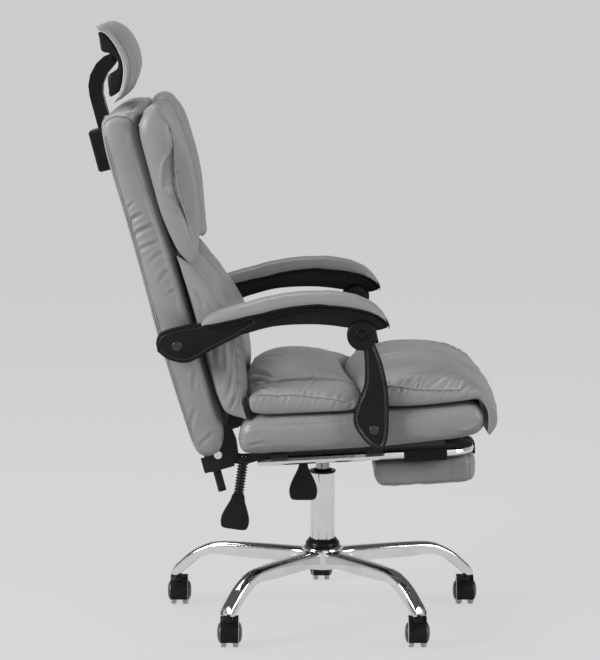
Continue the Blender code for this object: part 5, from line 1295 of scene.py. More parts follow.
    @staticmethod
    def _rounded_off(front: Profile, rear: Profile, by: float, front_by: float) -> tuple[Profile, Profile]:
        """Return both profiles drawn in, the front one more, so that the front edge rounds away."""
        drawn, back = shrunk(front, rear, by)
        marks = (0.0, 0.03, 0.2, 0.367, 0.45, 0.51, 0.57, 0.62, 0.66, 0.69, 0.71)
        share = (0.1, 0.4, 0.45, 0.5, 0.65, 0.8, 1.0, 1.0, 0.9, 0.45, 0.0)
        drawn = [(u - (front_by - by) * float(np.interp(w, marks, share)), w) for u, w in drawn]
        drawn[0], drawn[-1] = back[0], back[-1]
        return drawn, back

    def _upper_pillow(self) -> None:
        """Build the winged upper pillow with its leaf fold, gathers and double seam."""
        side = mm(([(21.5, 664.5), (30.2, 675.7), (42.5, 685), (55.8, 687.9), (69.5, 676.5), (78.3, 657.5),
            (79.1, 629.5), (74.5, 603), (68.5, 576.7), (63, 527.9), (64.2, 479.6), (66.9, 428.1),
            (63.6, 389.5), (51, 380.8)], [(21.5, 664.5), (17.5, 640), (17, 595), (17, 540), (18, 490),
            (25, 440), (34, 405), (51, 380.8)]))
        wing = mm(([(24, 676), (37, 690), (52, 695.5), (66, 688), (76.5, 665), (83.8, 635), (89, 600),
            (91.8, 565), (90, 520), (84, 480), (77.5, 445), (72.5, 420), (65, 400), (53, 390)],
            [(24, 676), (24, 640), (24, 595), (24, 540), (24, 490), (26, 440), (35, 412), (53, 390)]))
        hollow = mm(([(24, 672), (36, 686), (50, 689), (62, 680), (69, 655), (71, 625), (71.5, 590),
            (71.5, 550), (70, 510), (67, 475), (64, 445), (61, 420), (54, 401), (42, 393)],
            [(24, 672), (24, 640), (24, 595), (24, 540), (24, 490), (24, 440), (28, 412), (42, 393)]))
        form = PaddedForm("upper_back_pillow", self.carriers.back,
            ((0.0, *hollow), (0.11, *mixed(hollow, wing, 0.5)), (0.195, *wing), (0.25, *side)), columns=64,
            rows=84, side_steps=14, bulge=0.015, swell=0.005, seams=(0.46,))

        def relief(skin: Skin) -> np.ndarray:
            """Return the leaf-shaped fold, the gathers beside the piping and the sewn channels."""
            u, w = skin.forward, skin.upward
            offset = skin.front * groove((np.abs(skin.across) - 0.46) * self.pillow_half, 0.006, 0.005)
            left = np.interp(w, (0.44, 0.489, 0.51, 0.537, 0.55, 0.581, 0.611),
                (0.067, 0.056, 0.048, 0.0375, 0.039, 0.05, 0.0745))
            right = np.interp(w, (0.44, 0.4796, 0.5279, 0.5767, 0.603, 0.62),
                (0.066, 0.0642, 0.063, 0.0685, 0.0745, 0.078))
            inside = np.clip((u - left) / np.maximum(right - left, 0.002), 0, 1) * (w > 0.44) * (w < 0.611)
            offset -= skin.side * 0.0095 * inside ** 0.8 * (right > left)
            offset += skin.side * 0.0022 * np.exp(-((u - left + 0.004) / 0.004) ** 2) * (w > 0.49) * (w < 0.6)
            offset += skin.front * (skin.sideways > 0) * 0.007 * np.exp(-((w - 0.655) / 0.06) ** 2) \
                * np.exp(-((skin.sideways - 0.205) / 0.05) ** 2)
            offset += skin.side * fold(u, w, (0.056, 0.48), (0.06, 0.4), 0.005, 0.0024, 0.003)
            inward = skin.inward(self.pillow_half)
            channel = np.abs(np.abs(skin.across) * self.pillow_half - 0.115)
            level = np.exp(-((w - 0.555) / 0.075) ** 2)
            offset += skin.front * level * skin.gathered(w, inward, 0.02, 0.0058, 0.03, 101, 0.7)
            offset += skin.front * skin.gathered(w, inward, 0.024, 0.0028, 0.02, 111, -0.4)
            offset += skin.front * skin.gathered(w, channel, 0.034, 0.0026, 0.03, 121, 0.3)
            offset += skin.front * np.clip((w - 0.675) / 0.01, 0, 1) * 0.001 * wave(skin.sideways, 13, 0.06)
            return offset

        piece = form.upholstered(relief, "back", "upper_pillow")
        self.follower.piping("upper_pillow_piping", form.seams_on(piece, 0.0004), 0.0019, "back")
        rows = form.seams_on(piece, 0.0004, 0.52, 0.9, 0.985)
        self.follower.stitches("upper_pillow_double_seam", rows, "back", 0.0052, 0.0046, 0.0024, PIPING)

    def _lumbar_pillow(self) -> None:
        """Build the lumbar pillow with its gathered side seam and pointed lower corners."""
        side = mm(([(26, 404), (43, 380.8), (60.8, 342.2), (73.5, 299.5), (83, 270), (90, 240), (91.2, 215),
            (90, 188.1), (84, 157), (77.4, 123.6), (71.5, 93), (73.5, 60)],
            [(26, 404), (28.5, 360), (30.8, 320), (32.5, 270), (33.5, 215), (34.5, 160), (34, 116), (40, 82),
            (73.5, 60)]))
        wing = mm(([(24.5, 400), (42, 378), (64, 348), (75.5, 326), (84.5, 302), (94.5, 276), (101.5, 250),
            (106.2, 228), (105, 195), (99, 162), (93, 125), (82, 90), (72, 66)],
            [(24.5, 400), (24.5, 360), (24.5, 320), (24.5, 270), (24.5, 215), (24.5, 160), (26, 116),
            (40, 86), (72, 66)]))
        hollow = mm(([(24.5, 396), (40, 374), (59, 343), (73, 308), (84, 278), (90.5, 248), (93, 220),
            (91, 190), (85, 160), (77, 125), (69, 95), (56, 76)],
            [(24.5, 396), (24.5, 360), (24.5, 320), (24.5, 270), (24.5, 215), (24.5, 160), (25, 116),
            (33, 90), (56, 76)]))
        form = PaddedForm("lumbar_pillow_cover", self.carriers.back,
            ((0.0, *hollow), (0.1, *hollow), (0.2, *wing), (0.25, *side)), columns=64, rows=84, side_steps=9,
            bulge=0.007, swell=0.006, seams=(0.46,))

        def relief(skin: Skin) -> np.ndarray:
            """Return the side panel's long folds, the gathers beside the seam and the channels."""
            u, w = skin.forward, skin.upward
            offset = skin.front * groove((np.abs(skin.across) - 0.46) * self.pillow_half, 0.006, 0.005)
            rows = mm((((40, 245), (82, 262), 4.5, 5, 6), ((42, 170), (78, 262), 5.5, 5.6, 10),
                ((50, 110), (82, 225), 5, 4.2, -6), ((72, 115), (88, 200), 4, 3.6, 2),
                ((48, 85), (68, 115), 3.6, 2.6, 0), ((40, 335), (52, 290), 4.5, 3, 2)))
            offset += skin.side * folds(u, w, rows)
            channel = np.abs(np.abs(skin.across) * self.pillow_half - 0.115)
            inward = skin.inward(self.pillow_half)
            offset += skin.front * skin.gathered(w, inward, 0.026, 0.0046, 0.026, 131, 0.8)
            offset += skin.front * skin.gathered(w, channel, 0.034, 0.0026, 0.03, 141, 0.3)
            return offset

        piece = form.upholstered(relief, "back", "lumbar_pillow")
        self.follower.piping("lumbar_piping", form.seams_on(piece, 0.0004), 0.0019, "back")
        rows = form.seams_on(piece, 0.0003, 0.02, 0.3, 0.982)
        self.follower.stitches("lumbar_double_seam", rows, "back", 0.0052, 0.004, 0.0012)


# Headrest


@dataclass
class Headrest:
    """The headrest: padded front, moulded shell, curved arm and its mount on the back."""

    carriers: Carriers
    follower: Follower
    pad_half: float = 0.1425
    shell_half: float = 0.115

    def build(self) -> None:
        """Build the pad and the shell; the arm, slider and mount keep their CAD forms."""
        self._pad()
        self._shell()

    def _pad(self) -> None:
        """Build the pad: a crescent in section, thinner at its sides."""
        rear = mm([(-18.5, 865.5), (-15.9, 861.2), (-2.1, 849.7), (8.2, 828.1), (13.3, 807), (15.2, 788.6),
            (12.6, 771.3), (5.5, 751.5), (-3.4, 735.8), (-17.3, 721.4), (-25, 716)])
        middle = mm([(-18.5, 865.5), (-8, 870), (1, 870.6), (17, 863.5), (32, 845.5), (40.5, 824.5),
            (44, 805), (42.5, 783), (36, 763.5), (24.5, 745), (11, 730), (-3, 722), (-25, 716)])
        wing = mm([(-18.5, 865.5), (-9, 869.8), (-1, 869), (10.5, 861.5), (24.5, 845), (33.8, 823.6),
            (37.2, 803.8), (35.5, 781), (29, 760), (17.5, 741), (4.5, 726.2), (-7, 720), (-25, 716)])
        seam = mm([(-18.5, 865.5), (-11, 868.8), (-4.9, 867.5), (6, 857), (15.4, 843.8), (24.7, 818),
            (28.5, 795.4), (28.1, 773.9), (20.9, 754.2), (9.5, 735.5), (-5.3, 721.3), (-25, 716)])
        form = PaddedForm("headrest_cushion", self.carriers.back,
            ((0.0, middle, rear), (0.1, wing, rear), (0.1425, seam, rear)), columns=48, rows=52, side_steps=7,
            bulge=0.007, swell=0.003)

        def relief(skin: Skin) -> np.ndarray:
            """Return the soft long creases of the head pad."""
            w, y = skin.upward, skin.sideways
            offset = skin.front * 0.0005 * wave(w * 1.2 + 0.15 * y, 17, 0.07)
            rows = mm((((50, 740), (120, 800), 6, 1.2, 4), ((20, 730), (110, 755), 5, 1.2, 3),
                ((60, 860), (120, 810), 6, 1.2, -4)))
            for sign in (-1, 1):
                offset += skin.front * folds(sign * y, w, rows)
            return offset

        piece = form.upholstered(relief, "headrest", "headrest_pad")
        self.follower.piping("headrest_piping", form.seams_on(piece, 0.0003), 0.0012, "headrest")
        rims = [on_surface(piece, flat_path(self.carriers.back, rear, sign * 0.144, 70), 0.0002)
            for sign in (-1, 1)]
        self.follower.piping("headrest_rim", rims, 0.0013, "headrest", PALE_PIPING)

    def _shell(self) -> None:
        """Build the shell: a dished cover behind the pad, with a channel across it for the arm's head."""
        inner = mm([(-19, 856), (-4, 846.5), (6, 826.5), (11, 806), (13, 788.6), (10.4, 772), (3.5, 753),
            (-5, 738.5), (-16, 730), (-29, 727)])
        outer = mm([(-19, 856), (-20, 842), (-22.2, 823), (-18.5, 816), (-8, 811.2), (0.5, 805), (4, 796.5),
            (4.2, 787), (-0.5, 777.5), (-11, 773), (-21.5, 769.5), (-26, 757.5), (-28.2, 744), (-30.5, 733),
            (-29, 727)])
        form = PaddedForm("headrest_back_shell", self.carriers.back,
            ((0.0, outer, inner), (0.104, outer, inner), (self.shell_half, *shrunk(outer, inner, 0.0012))),
            columns=80, rows=40, side_steps=8, bulge=0.0022, swell=0.0)
        piece = form.build()
        finish_piece(piece, "headrest", Slot.SHELL_PLASTIC, ("headrest_shell",), crease=50)


def dress_nodes() -> None:
    """Give the CAD nodes that stay their finishes."""
    casters = range(1, 6)
    kept = {
        CHROME: ["footrest_tube", "recline_shaft"] + [f"caster_{i}_axle" for i in casters],
        PISTON: ["gas_piston"],
        DARK_BOLT: [f"{kind}_{side}" for kind in ("arm_rear_bolt", "link_bolt") for side, _ in SIDES],
        BLACK_STEEL: ["seat_frame", "back_frame", "lift_lever", "recline_lever"],
        BLACK_PLASTIC: ["headrest_mount", "headrest_slider", "headrest_arm"]
                       + [f"footrest_guide_{side}" for side, _ in SIDES],
        SHELL_PLASTIC: ["footrest_board"],
        PLYWOOD: ["seat_board"],
    }
    for finish, names in kept.items():
        for name in names:
            node = frame["nodes"][name]
            node.data.materials.clear()
            node.data.materials.append(finish.build())


# Armrests and links


@dataclass
class Armrests:
    """Both armrests: moulded frame with its raised band and disc, padded top and link."""

    carriers: Carriers
    follower: Follower
    frame_near: float = 0.2805
    frame_far: float = 0.3025
    panel_depth: float = 0.003
    disc_far: float = 0.3085
    disc_radius: float = 0.029
    pad_near: float = 0.266
    pad_far: float = 0.3172
    link_near: float = 0.2655
    link_far: float = 0.2795
    link_width: float = 0.072
    rim_inset: float = 0.0068
    rim_end: float = 0.15

    top: Profile = mm(((407, 41), (368, 69), (337, 81), (279, 84), (216, 79), (165, 69), (108, 52), (47, 44),
        (10, 38), (-23, 29), (-36.5, 20.5), (-40.5, 6)))
    bottom: Profile = mm(((-37.5, -11), (-20, -24.5), (0, -31.2), (18.4, -32.5), (30.7, -28.8), (46, -20.5),
        (70.6, -5.5), (101.3, 9.8), (119.7, 19.5), (144.3, 27.2), (178, 36.2), (208.7, 40.2), (239.4, 41.7),
        (270.1, 41.7), (300.8, 39.2), (325.3, 35.8), (380, 30), (404, 35)))
    step: Profile = mm(((128, 26.5), (162.7, 43), (181, 51.3), (208.7, 60.5), (239.4, 66), (270.1, 67.5),
        (300.8, 64.5), (331.5, 58.9), (356, 50.5), (371.4, 41.5), (382, 31)))
    under: Profile = mm(((408.5, 38.5), (402.1, 49.7), (383.7, 63.5), (362.2, 71.2), (331.5, 77.3),
        (300.8, 81), (270.1, 82.9), (239.4, 81), (208.7, 76.7), (178, 69.7), (132, 58.9), (86, 48.5),
        (60, 42.5)))
    pad_top: Profile = mm(((46, 40.5), (48, 49), (66, 62.5), (95, 73.5), (133, 84), (200, 100.5),
        (267, 106.5), (310, 105), (345, 98.5), (376, 84), (398, 63), (407.5, 43)))

    def build(self) -> None:
        """Build both sides."""
        for side, sign in SIDES:
            self._frame(side, sign)
            self._pad(side, sign)
            self._link(side, sign)

    def _frame(self, side: str, sign: int) -> None:
        """Build a frame: recessed lower panel, raised band, pad tray and pivot disc."""
        matrix = self.carriers.arm
        panel = np.vstack((catmull(self.top, 70), catmull(self.bottom, 90)))
        rear = tuple(point for point in self.bottom if point[0] < 0.12)
        band_top = catmull(tuple((x, z - 0.001) for x, z in self.top), 70)
        raised = np.vstack((band_top, catmull(rear + tuple(self.step), 110)))
        upper = catmull(self.under, 60)
        tray = np.vstack((upper + (0.0, 0.004), (upper - (0.0, 0.0042))[::-1]))
        line = catmull(self.step[1:], 60) + (0.0, -0.0012)
        bead = np.vstack((line + (0, 0.0011), (line - (0, 0.0011))[::-1]))
        plates = (("panel", panel, self.frame_near, self.frame_far - self.panel_depth, 0.0022),
            ("band", raised, self.frame_near + 0.004, self.frame_far, 0.0016),
            ("tray", tray, self.pad_near + 0.001, self.pad_far - 0.0012, 0.001),
            ("bead", bead, self.frame_near + 0.006, self.frame_far - 0.001, 0.0005))
        parts = [plate_mesh(name, outline, sign * near, sign * far, matrix, round_by)
                 for name, outline, near, far, round_by in plates]
        parts += [self._disc(sign), self._rear_ring(sign)]
        piece = show(f"arm_{side}_moulding", joined(f"arm_{side}_moulding", parts))
        finish_piece(piece, f"arm_{side}", Slot.BLACK_PLASTIC, (f"arm_frame_{side}",), crease=28)
        whole = inner_line(raised, self.rim_inset)
        line = whole[whole[:, 0] < self.rim_end]
        steps = np.linalg.norm(np.diff(line, axis=0), axis=1)
        if steps.max() > 0.01:
            line = np.roll(line, -int(np.argmax(steps)) - 1, axis=0)
        path = np.column_stack((line[:, 0], np.full(len(line), sign * self.frame_far), line[:, 1]))
        # The rim bead is real, but its lighter plastic is a painted highlight line along the band.
        self.follower.piping(f"arm_{side}_rim", [to_world(path, matrix)], 0.0009, f"arm_{side}", HIGHLIT_PLASTIC)
        centre = Vector(joint_named("arm_right_pivot")["pos_m"])
        self._bolt_cap(f"arm_{side}_bolt_cap", centre, self.frame_far, 0.0094, sign, "back")

    def _bolt_cap(self, name: str, centre: Vector, far: float, radius: float, sign: int, body: str) -> None:
        """Build the round domed head that covers a bolt, in the lighter plastic that paints its highlight."""
        middle = Vector((centre.x, self.carriers.column.y, centre.z))
        dome = [(far - 0.001, 0.0), (far - 0.001, radius)]
        dome += [(far - 0.0002 + 0.0019 * math.sin(a), radius * math.cos(a) ** 0.7)
                 for a in np.linspace(0.12, math.pi / 2 - 0.1, 9)]
        dome.append((far + 0.0017, 0.0))
        cap = show(name, turned_mesh(name, dome, middle, (0, sign, 0), 40))
        finish_piece(cap, body, Slot.BLACK_PLASTIC, finish=HIGHLIT_PLASTIC, crease=50)

    def _disc(self, sign: int) -> bpy.types.Mesh:
        """Return the front pivot's disc with its recessed bolt hole."""
        centre = self.carriers.arm @ Vector((self.carriers.arm_reach, 0, self.carriers.arm_front_rise))
        centre.y = self.carriers.column.y
        r, far = self.disc_radius, self.disc_far
        profile = [(self.frame_near, 0.0), (self.frame_near, r - 0.002), (self.frame_near + 0.002, r),
            (far - 0.0028, r), (far - 0.001, r - 0.0009), (far, r - 0.003), (far - 0.0002, r - 0.0062),
            (far - 0.0009, 0.0135), (far - 0.0008, 0.0118), (far - 0.0003, 0.0112), (far - 0.0003, 0.0106),
            (far - 0.0012, 0.01), (far - 0.0024, 0.0092), (far - 0.0024, 0.0072), (far - 0.0012, 0.0064),
            (far - 0.0003, 0.0046), (far, 0.0022), (far, 0.0)]
        return turned_mesh("disc", profile, centre, (0, sign, 0), 64)

    def _rear_ring(self, sign: int) -> bpy.types.Mesh:
        """Return the raised ring round the rear bolt."""
        centre = Vector(joint_named("arm_right_pivot")["pos_m"])
        centre.y = self.carriers.column.y
        far = self.frame_far
        profile = [(far - 0.002, 0.0), (far - 0.002, 0.0125), (far + 0.0002, 0.0122), (far + 0.0005, 0.0112),
            (far + 0.0002, 0.0102), (far - 0.0006, 0.0096), (far - 0.0006, 0.0)]
        return turned_mesh("rear_ring", profile, centre, (0, sign, 0), 48)

    def _pad(self, side: str, sign: int) -> None:
        """Build a padded top, gathered at both tips."""
        half = (self.pad_far - self.pad_near) / 2
        lower = list(self.under[::-1])
        lower[0], lower[-1] = self.pad_top[0], self.pad_top[-1]
        inset = self._drawn_in(self.pad_top, lower, 0.0125)
        slight = self._drawn_in(self.pad_top, lower, 0.0035)
        matrix = self.carriers.arm @ Matrix.Translation((0, sign * (self.pad_near + half), 0))
        form = PaddedForm(f"arm_{side}_cushion", matrix, ((0.0, self.pad_top, lower),
            (half * 0.5, self._drawn_in(self.pad_top, lower, 0.001), lower), (half * 0.84, slight, lower),
            (half, inset, lower)), columns=72, rows=30, side_steps=5, bulge=0.0012, swell=0.0025,
            pressure=3.0)

        def relief(skin: Skin) -> np.ndarray:
            """Return the gathers at both tips and a soft waviness."""
            tips = np.exp(-((skin.along - 0.94) / 0.05) ** 2) + np.exp(-((skin.along - 0.03) / 0.035) ** 2)
            edge = np.interp(skin.forward, *zip(*self.under[::-1]))
            above = np.clip(skin.upward - edge, 0, 1)
            pull = gathers(skin.forward, above, 0.0075, 0.0022, 0.011, 151, 0.3)
            return tips * pull + 0.0005 * wave(skin.forward, 153, 0.07)

        form.upholstered(relief, f"arm_{side}", f"arm_pad_{side}")

    @staticmethod
    def _drawn_in(top: Profile, lower: Profile, by: float) -> Profile:
        """Return the top profile lowered towards the lower one."""
        base = np.interp([x for x, _ in top], [x for x, _ in lower], [z for _, z in lower])
        drawn = [(x, z - by * min(1.0, max(0.0, (z - low) / 0.018))) for (x, z), low in zip(top, base)]
        drawn[0], drawn[-1] = top[0], top[-1]
        return drawn

    def _link(self, side: str, sign: int) -> None:
        """Build a link: teardrop plate with a moulded rim in lighter plastic as painted highlight lines, and
        a recessed bolt.
        """
        length, width = self.carriers.link_length, self.link_width
        rear = ((-0.1, 0.99), (-0.01, 0.87), (-0.03, 0.66), (-0.125, 0.46), (-0.36, 0.3), (-0.5, 0.17),
            (-0.49, 0.045), (-0.24, -0.125), (0.05, -0.205))
        front = ((0.25, -0.17), (0.39, -0.005), (0.5, 0.346), (0.46, 0.64), (0.32, 0.87), (0.2, 0.99))
        outline = catmull([(x * width, z * length) for x, z in rear + front], 150, closed=True)
        matrix = self.carriers.link
        parts = [plate_mesh("plate", outline, sign * self.link_near, sign * self.link_far, matrix, 0.0024)]
        foot = matrix.translation.copy()
        foot.y = self.carriers.column.y
        far = self.link_far
        ring = [(far - 0.003, 0.0), (far - 0.003, 0.0118), (far - 0.0004, 0.0114), (far + 0.0001, 0.0104),
            (far - 0.0003, 0.0094), (far - 0.0016, 0.0089), (far - 0.0016, 0.0058), (far - 0.0006, 0.0052),
            (far - 0.0004, 0.003), (far - 0.0004, 0.0)]
        parts.append(turned_mesh("ring", ring, foot, (0, sign, 0), 48))
        head = matrix @ Vector((0, 0, length))
        head.y = self.carriers.column.y
        parts.append(turned_mesh("eye", rounded_profile(self.link_near, self.link_far, 0.024, 0.002), head,
                                 (0, sign, 0), 56))
        piece = show(f"link_{side}_moulding", joined(f"link_{side}_moulding", parts))
        finish_piece(piece, f"link_{side}", Slot.BLACK_PLASTIC, (f"arm_link_{side}",), crease=28)
        paths = []
        for inset in (0.005, 0.0074):
            line = inner_line(outline, inset)
            path = np.column_stack((line[:, 0], np.full(len(line), sign * self.link_far), line[:, 1]))
            paths.append(to_world(path, matrix))
        # Both rim lines are in the lighter plastic: painted highlight lines round the link.
        self.follower.piping(f"link_{side}_rim", paths, 0.0011, f"link_{side}", HIGHLIT_PLASTIC)
        self._bolt_cap(f"link_{side}_bolt_cap", foot, self.link_far, 0.0092, sign, "seat")


# Footrest


@dataclass
class Footrest:
    """The footrest: tube, guides, board and pad."""

    carriers: Carriers
    follower: Follower
    half: float = 0.169

    def build(self) -> None:
        """Build the pad; the tube, guides and board keep their CAD forms."""
        lift = self.carriers.flap.inverted() @ self.carriers.seat
        top = mm([(99.5, -58), (100.5, -41), (112, -33.5), (150, -33), (200, -32.5), (250, -32.5),
            (288, -33.5), (298.5, -41), (300.5, -60)])
        under = mm([(99.5, -58), (100, -80), (112, -92.2), (150, -93.5), (200, -93.8), (250, -93.5),
            (286, -92.2), (297.5, -82.5), (300.5, -60)])
        raised = [self._moved(lift, point) for point in top]
        lowered = [self._moved(lift, point) for point in under]
        inset = [shrunk(raised, lowered, by) for by in (0.003, 0.009)]
        form = PaddedForm("footrest_cushion", self.carriers.flap,
            ((0.0, lowered, raised), (0.13, lowered, raised), (0.16, inset[0][1], inset[0][0]),
            (self.half, inset[1][1], inset[1][0])), columns=60, rows=60, side_steps=9, bulge=0.003,
            swell=0.003)

        def relief(skin: Skin) -> np.ndarray:
            """Return the seams near the front edge and the soft creases beside them."""
            seam = skin.forward - lowered[-1][0] + 0.014
            offset = groove(seam, 0.0018, 0.0022) * (1 - 0.3 * skin.side)
            offset += skin.gathered(skin.forward, skin.inward(self.half), 0.034, 0.001, 0.02, 161, 0.5)
            return offset + 0.0008 * wave(skin.forward + skin.sideways * 0.4, 163, 0.08)

        form.upholstered(relief, "footrest_flap", "footrest_pad")

    @staticmethod
    def _moved(matrix: Matrix, point: Pair) -> Pair:
        """Return a point of the seat's plane in the flap's."""
        place = matrix @ Vector((point[0], 0, point[1]))
        return (place.x, place.z)


# Levers


@dataclass
class Levers:
    """Both levers: teardrop paddles and the ribbed sleeve."""

    carriers: Carriers
    recline_y: float = 0.2425
    paddle_width: float = 0.056
    lift_drop: float = 0.064
    recline_drop: float = 0.071
    sleeve_radius: float = 0.0104
    sleeve_rise: float = 0.0085
    sleeve_length: float = 0.0695
    sleeve_half: float = 0.027
    ribs: int = 12
    rib_steps: int = 8
    lift_forward: float = 0.004
    lift_longer: float = 0.0065

    def build(self) -> None:
        """Build the paddles and the sleeve."""
        self._lift_paddle()
        self._recline()

    @staticmethod
    def _stretched(shares: Profile, width: float, drop: float) -> np.ndarray:
        """Return a smooth closed outline from shares of a width and a drop."""
        return catmull([(x * width, z * drop) for x, z in shares], 120, closed=True)

    def _lift_paddle(self) -> None:
        """Build the lift lever's paddle."""
        shares = ((-0.16, 0.18), (0.0, 0.21), (0.16, 0.18), (0.165, -0.02), (0.24, -0.18), (0.4, -0.44),
            (0.495, -0.68), (0.475, -0.88), (0.37, -0.985), (0.0, -1.0), (-0.37, -0.985), (-0.475, -0.88),
            (-0.495, -0.68), (-0.4, -0.44), (-0.24, -0.18), (-0.165, -0.02))
        low, high = (Vector(corner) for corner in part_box("lift_paddle"))
        drop = (high.z - low.z) / 1.2
        matrix = Matrix.Translation(((low.x + high.x) / 2 + self.lift_forward, 0, low.z + drop))
        outline = self._stretched(shares, high.x - low.x, drop + self.lift_longer)
        mesh = plate_mesh("lift_paddle_blade", outline, low.y, high.y, matrix, round_by=0.0036)
        piece = show("lift_paddle_blade", mesh)
        finish_piece(piece, "lift_lever", Slot.BLACK_PLASTIC, ("lift_paddle",), crease=32)

    def _recline(self) -> None:
        """Build the recline lever's ribbed sleeve and paddle."""
        pivot = Vector(joint_named("recline_lever_pull")["pos_m"])
        rod_top = Vector((pivot.x, self.carriers.column.y - self.recline_y, pivot.z))
        low, high = (Vector(corner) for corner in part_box("recline_sleeve"))
        middle = (low + high) / 2
        down = (middle - rod_top).normalized()
        start = middle - down * (self.sleeve_half + self.sleeve_rise)
        profile = [(0.0, 0.0), (0.0, self.sleeve_radius - 0.0012)]
        pitch = self.sleeve_length / self.ribs
        for rib in range(self.ribs):
            for step in range(self.rib_steps):
                part = step / self.rib_steps
                radius = self.sleeve_radius - 0.0017 * (1 + math.cos(FULL_TURN * part))
                profile.append(((rib + part) * pitch, radius))
        profile += [(self.sleeve_length, self.sleeve_radius - 0.0012), (self.sleeve_length, 0.0)]
        sleeve = show("recline_ribs", turned_mesh("recline_ribs", profile, start, down, 40))
        finish_piece(sleeve, "recline_lever", Slot.SLEEVE_RUBBER, ("recline_sleeve",), crease=40)
        shares = ((-0.17, 0.0), (0.17, 0.0), (0.27, -0.22), (0.42, -0.5), (0.495, -0.7), (0.48, -0.88),
            (0.38, -0.985), (0.0, -1.0), (-0.38, -0.985), (-0.48, -0.88), (-0.495, -0.7), (-0.42, -0.5),
            (-0.27, -0.22))
        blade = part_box("recline_paddle")
        foot = start + down * self.sleeve_length
        matrix = local_frame((foot.x, 0, foot.z), (-down.z, 0, down.x))
        outline = self._stretched(shares, self.paddle_width, self.recline_drop)
        mesh = plate_mesh("recline_paddle_blade", outline, blade[0][1], blade[1][1], matrix, round_by=0.0036)
        piece = show("recline_paddle_blade", mesh)
        finish_piece(piece, "recline_lever", Slot.BLACK_PLASTIC, ("recline_paddle",), crease=32)


# Base and casters


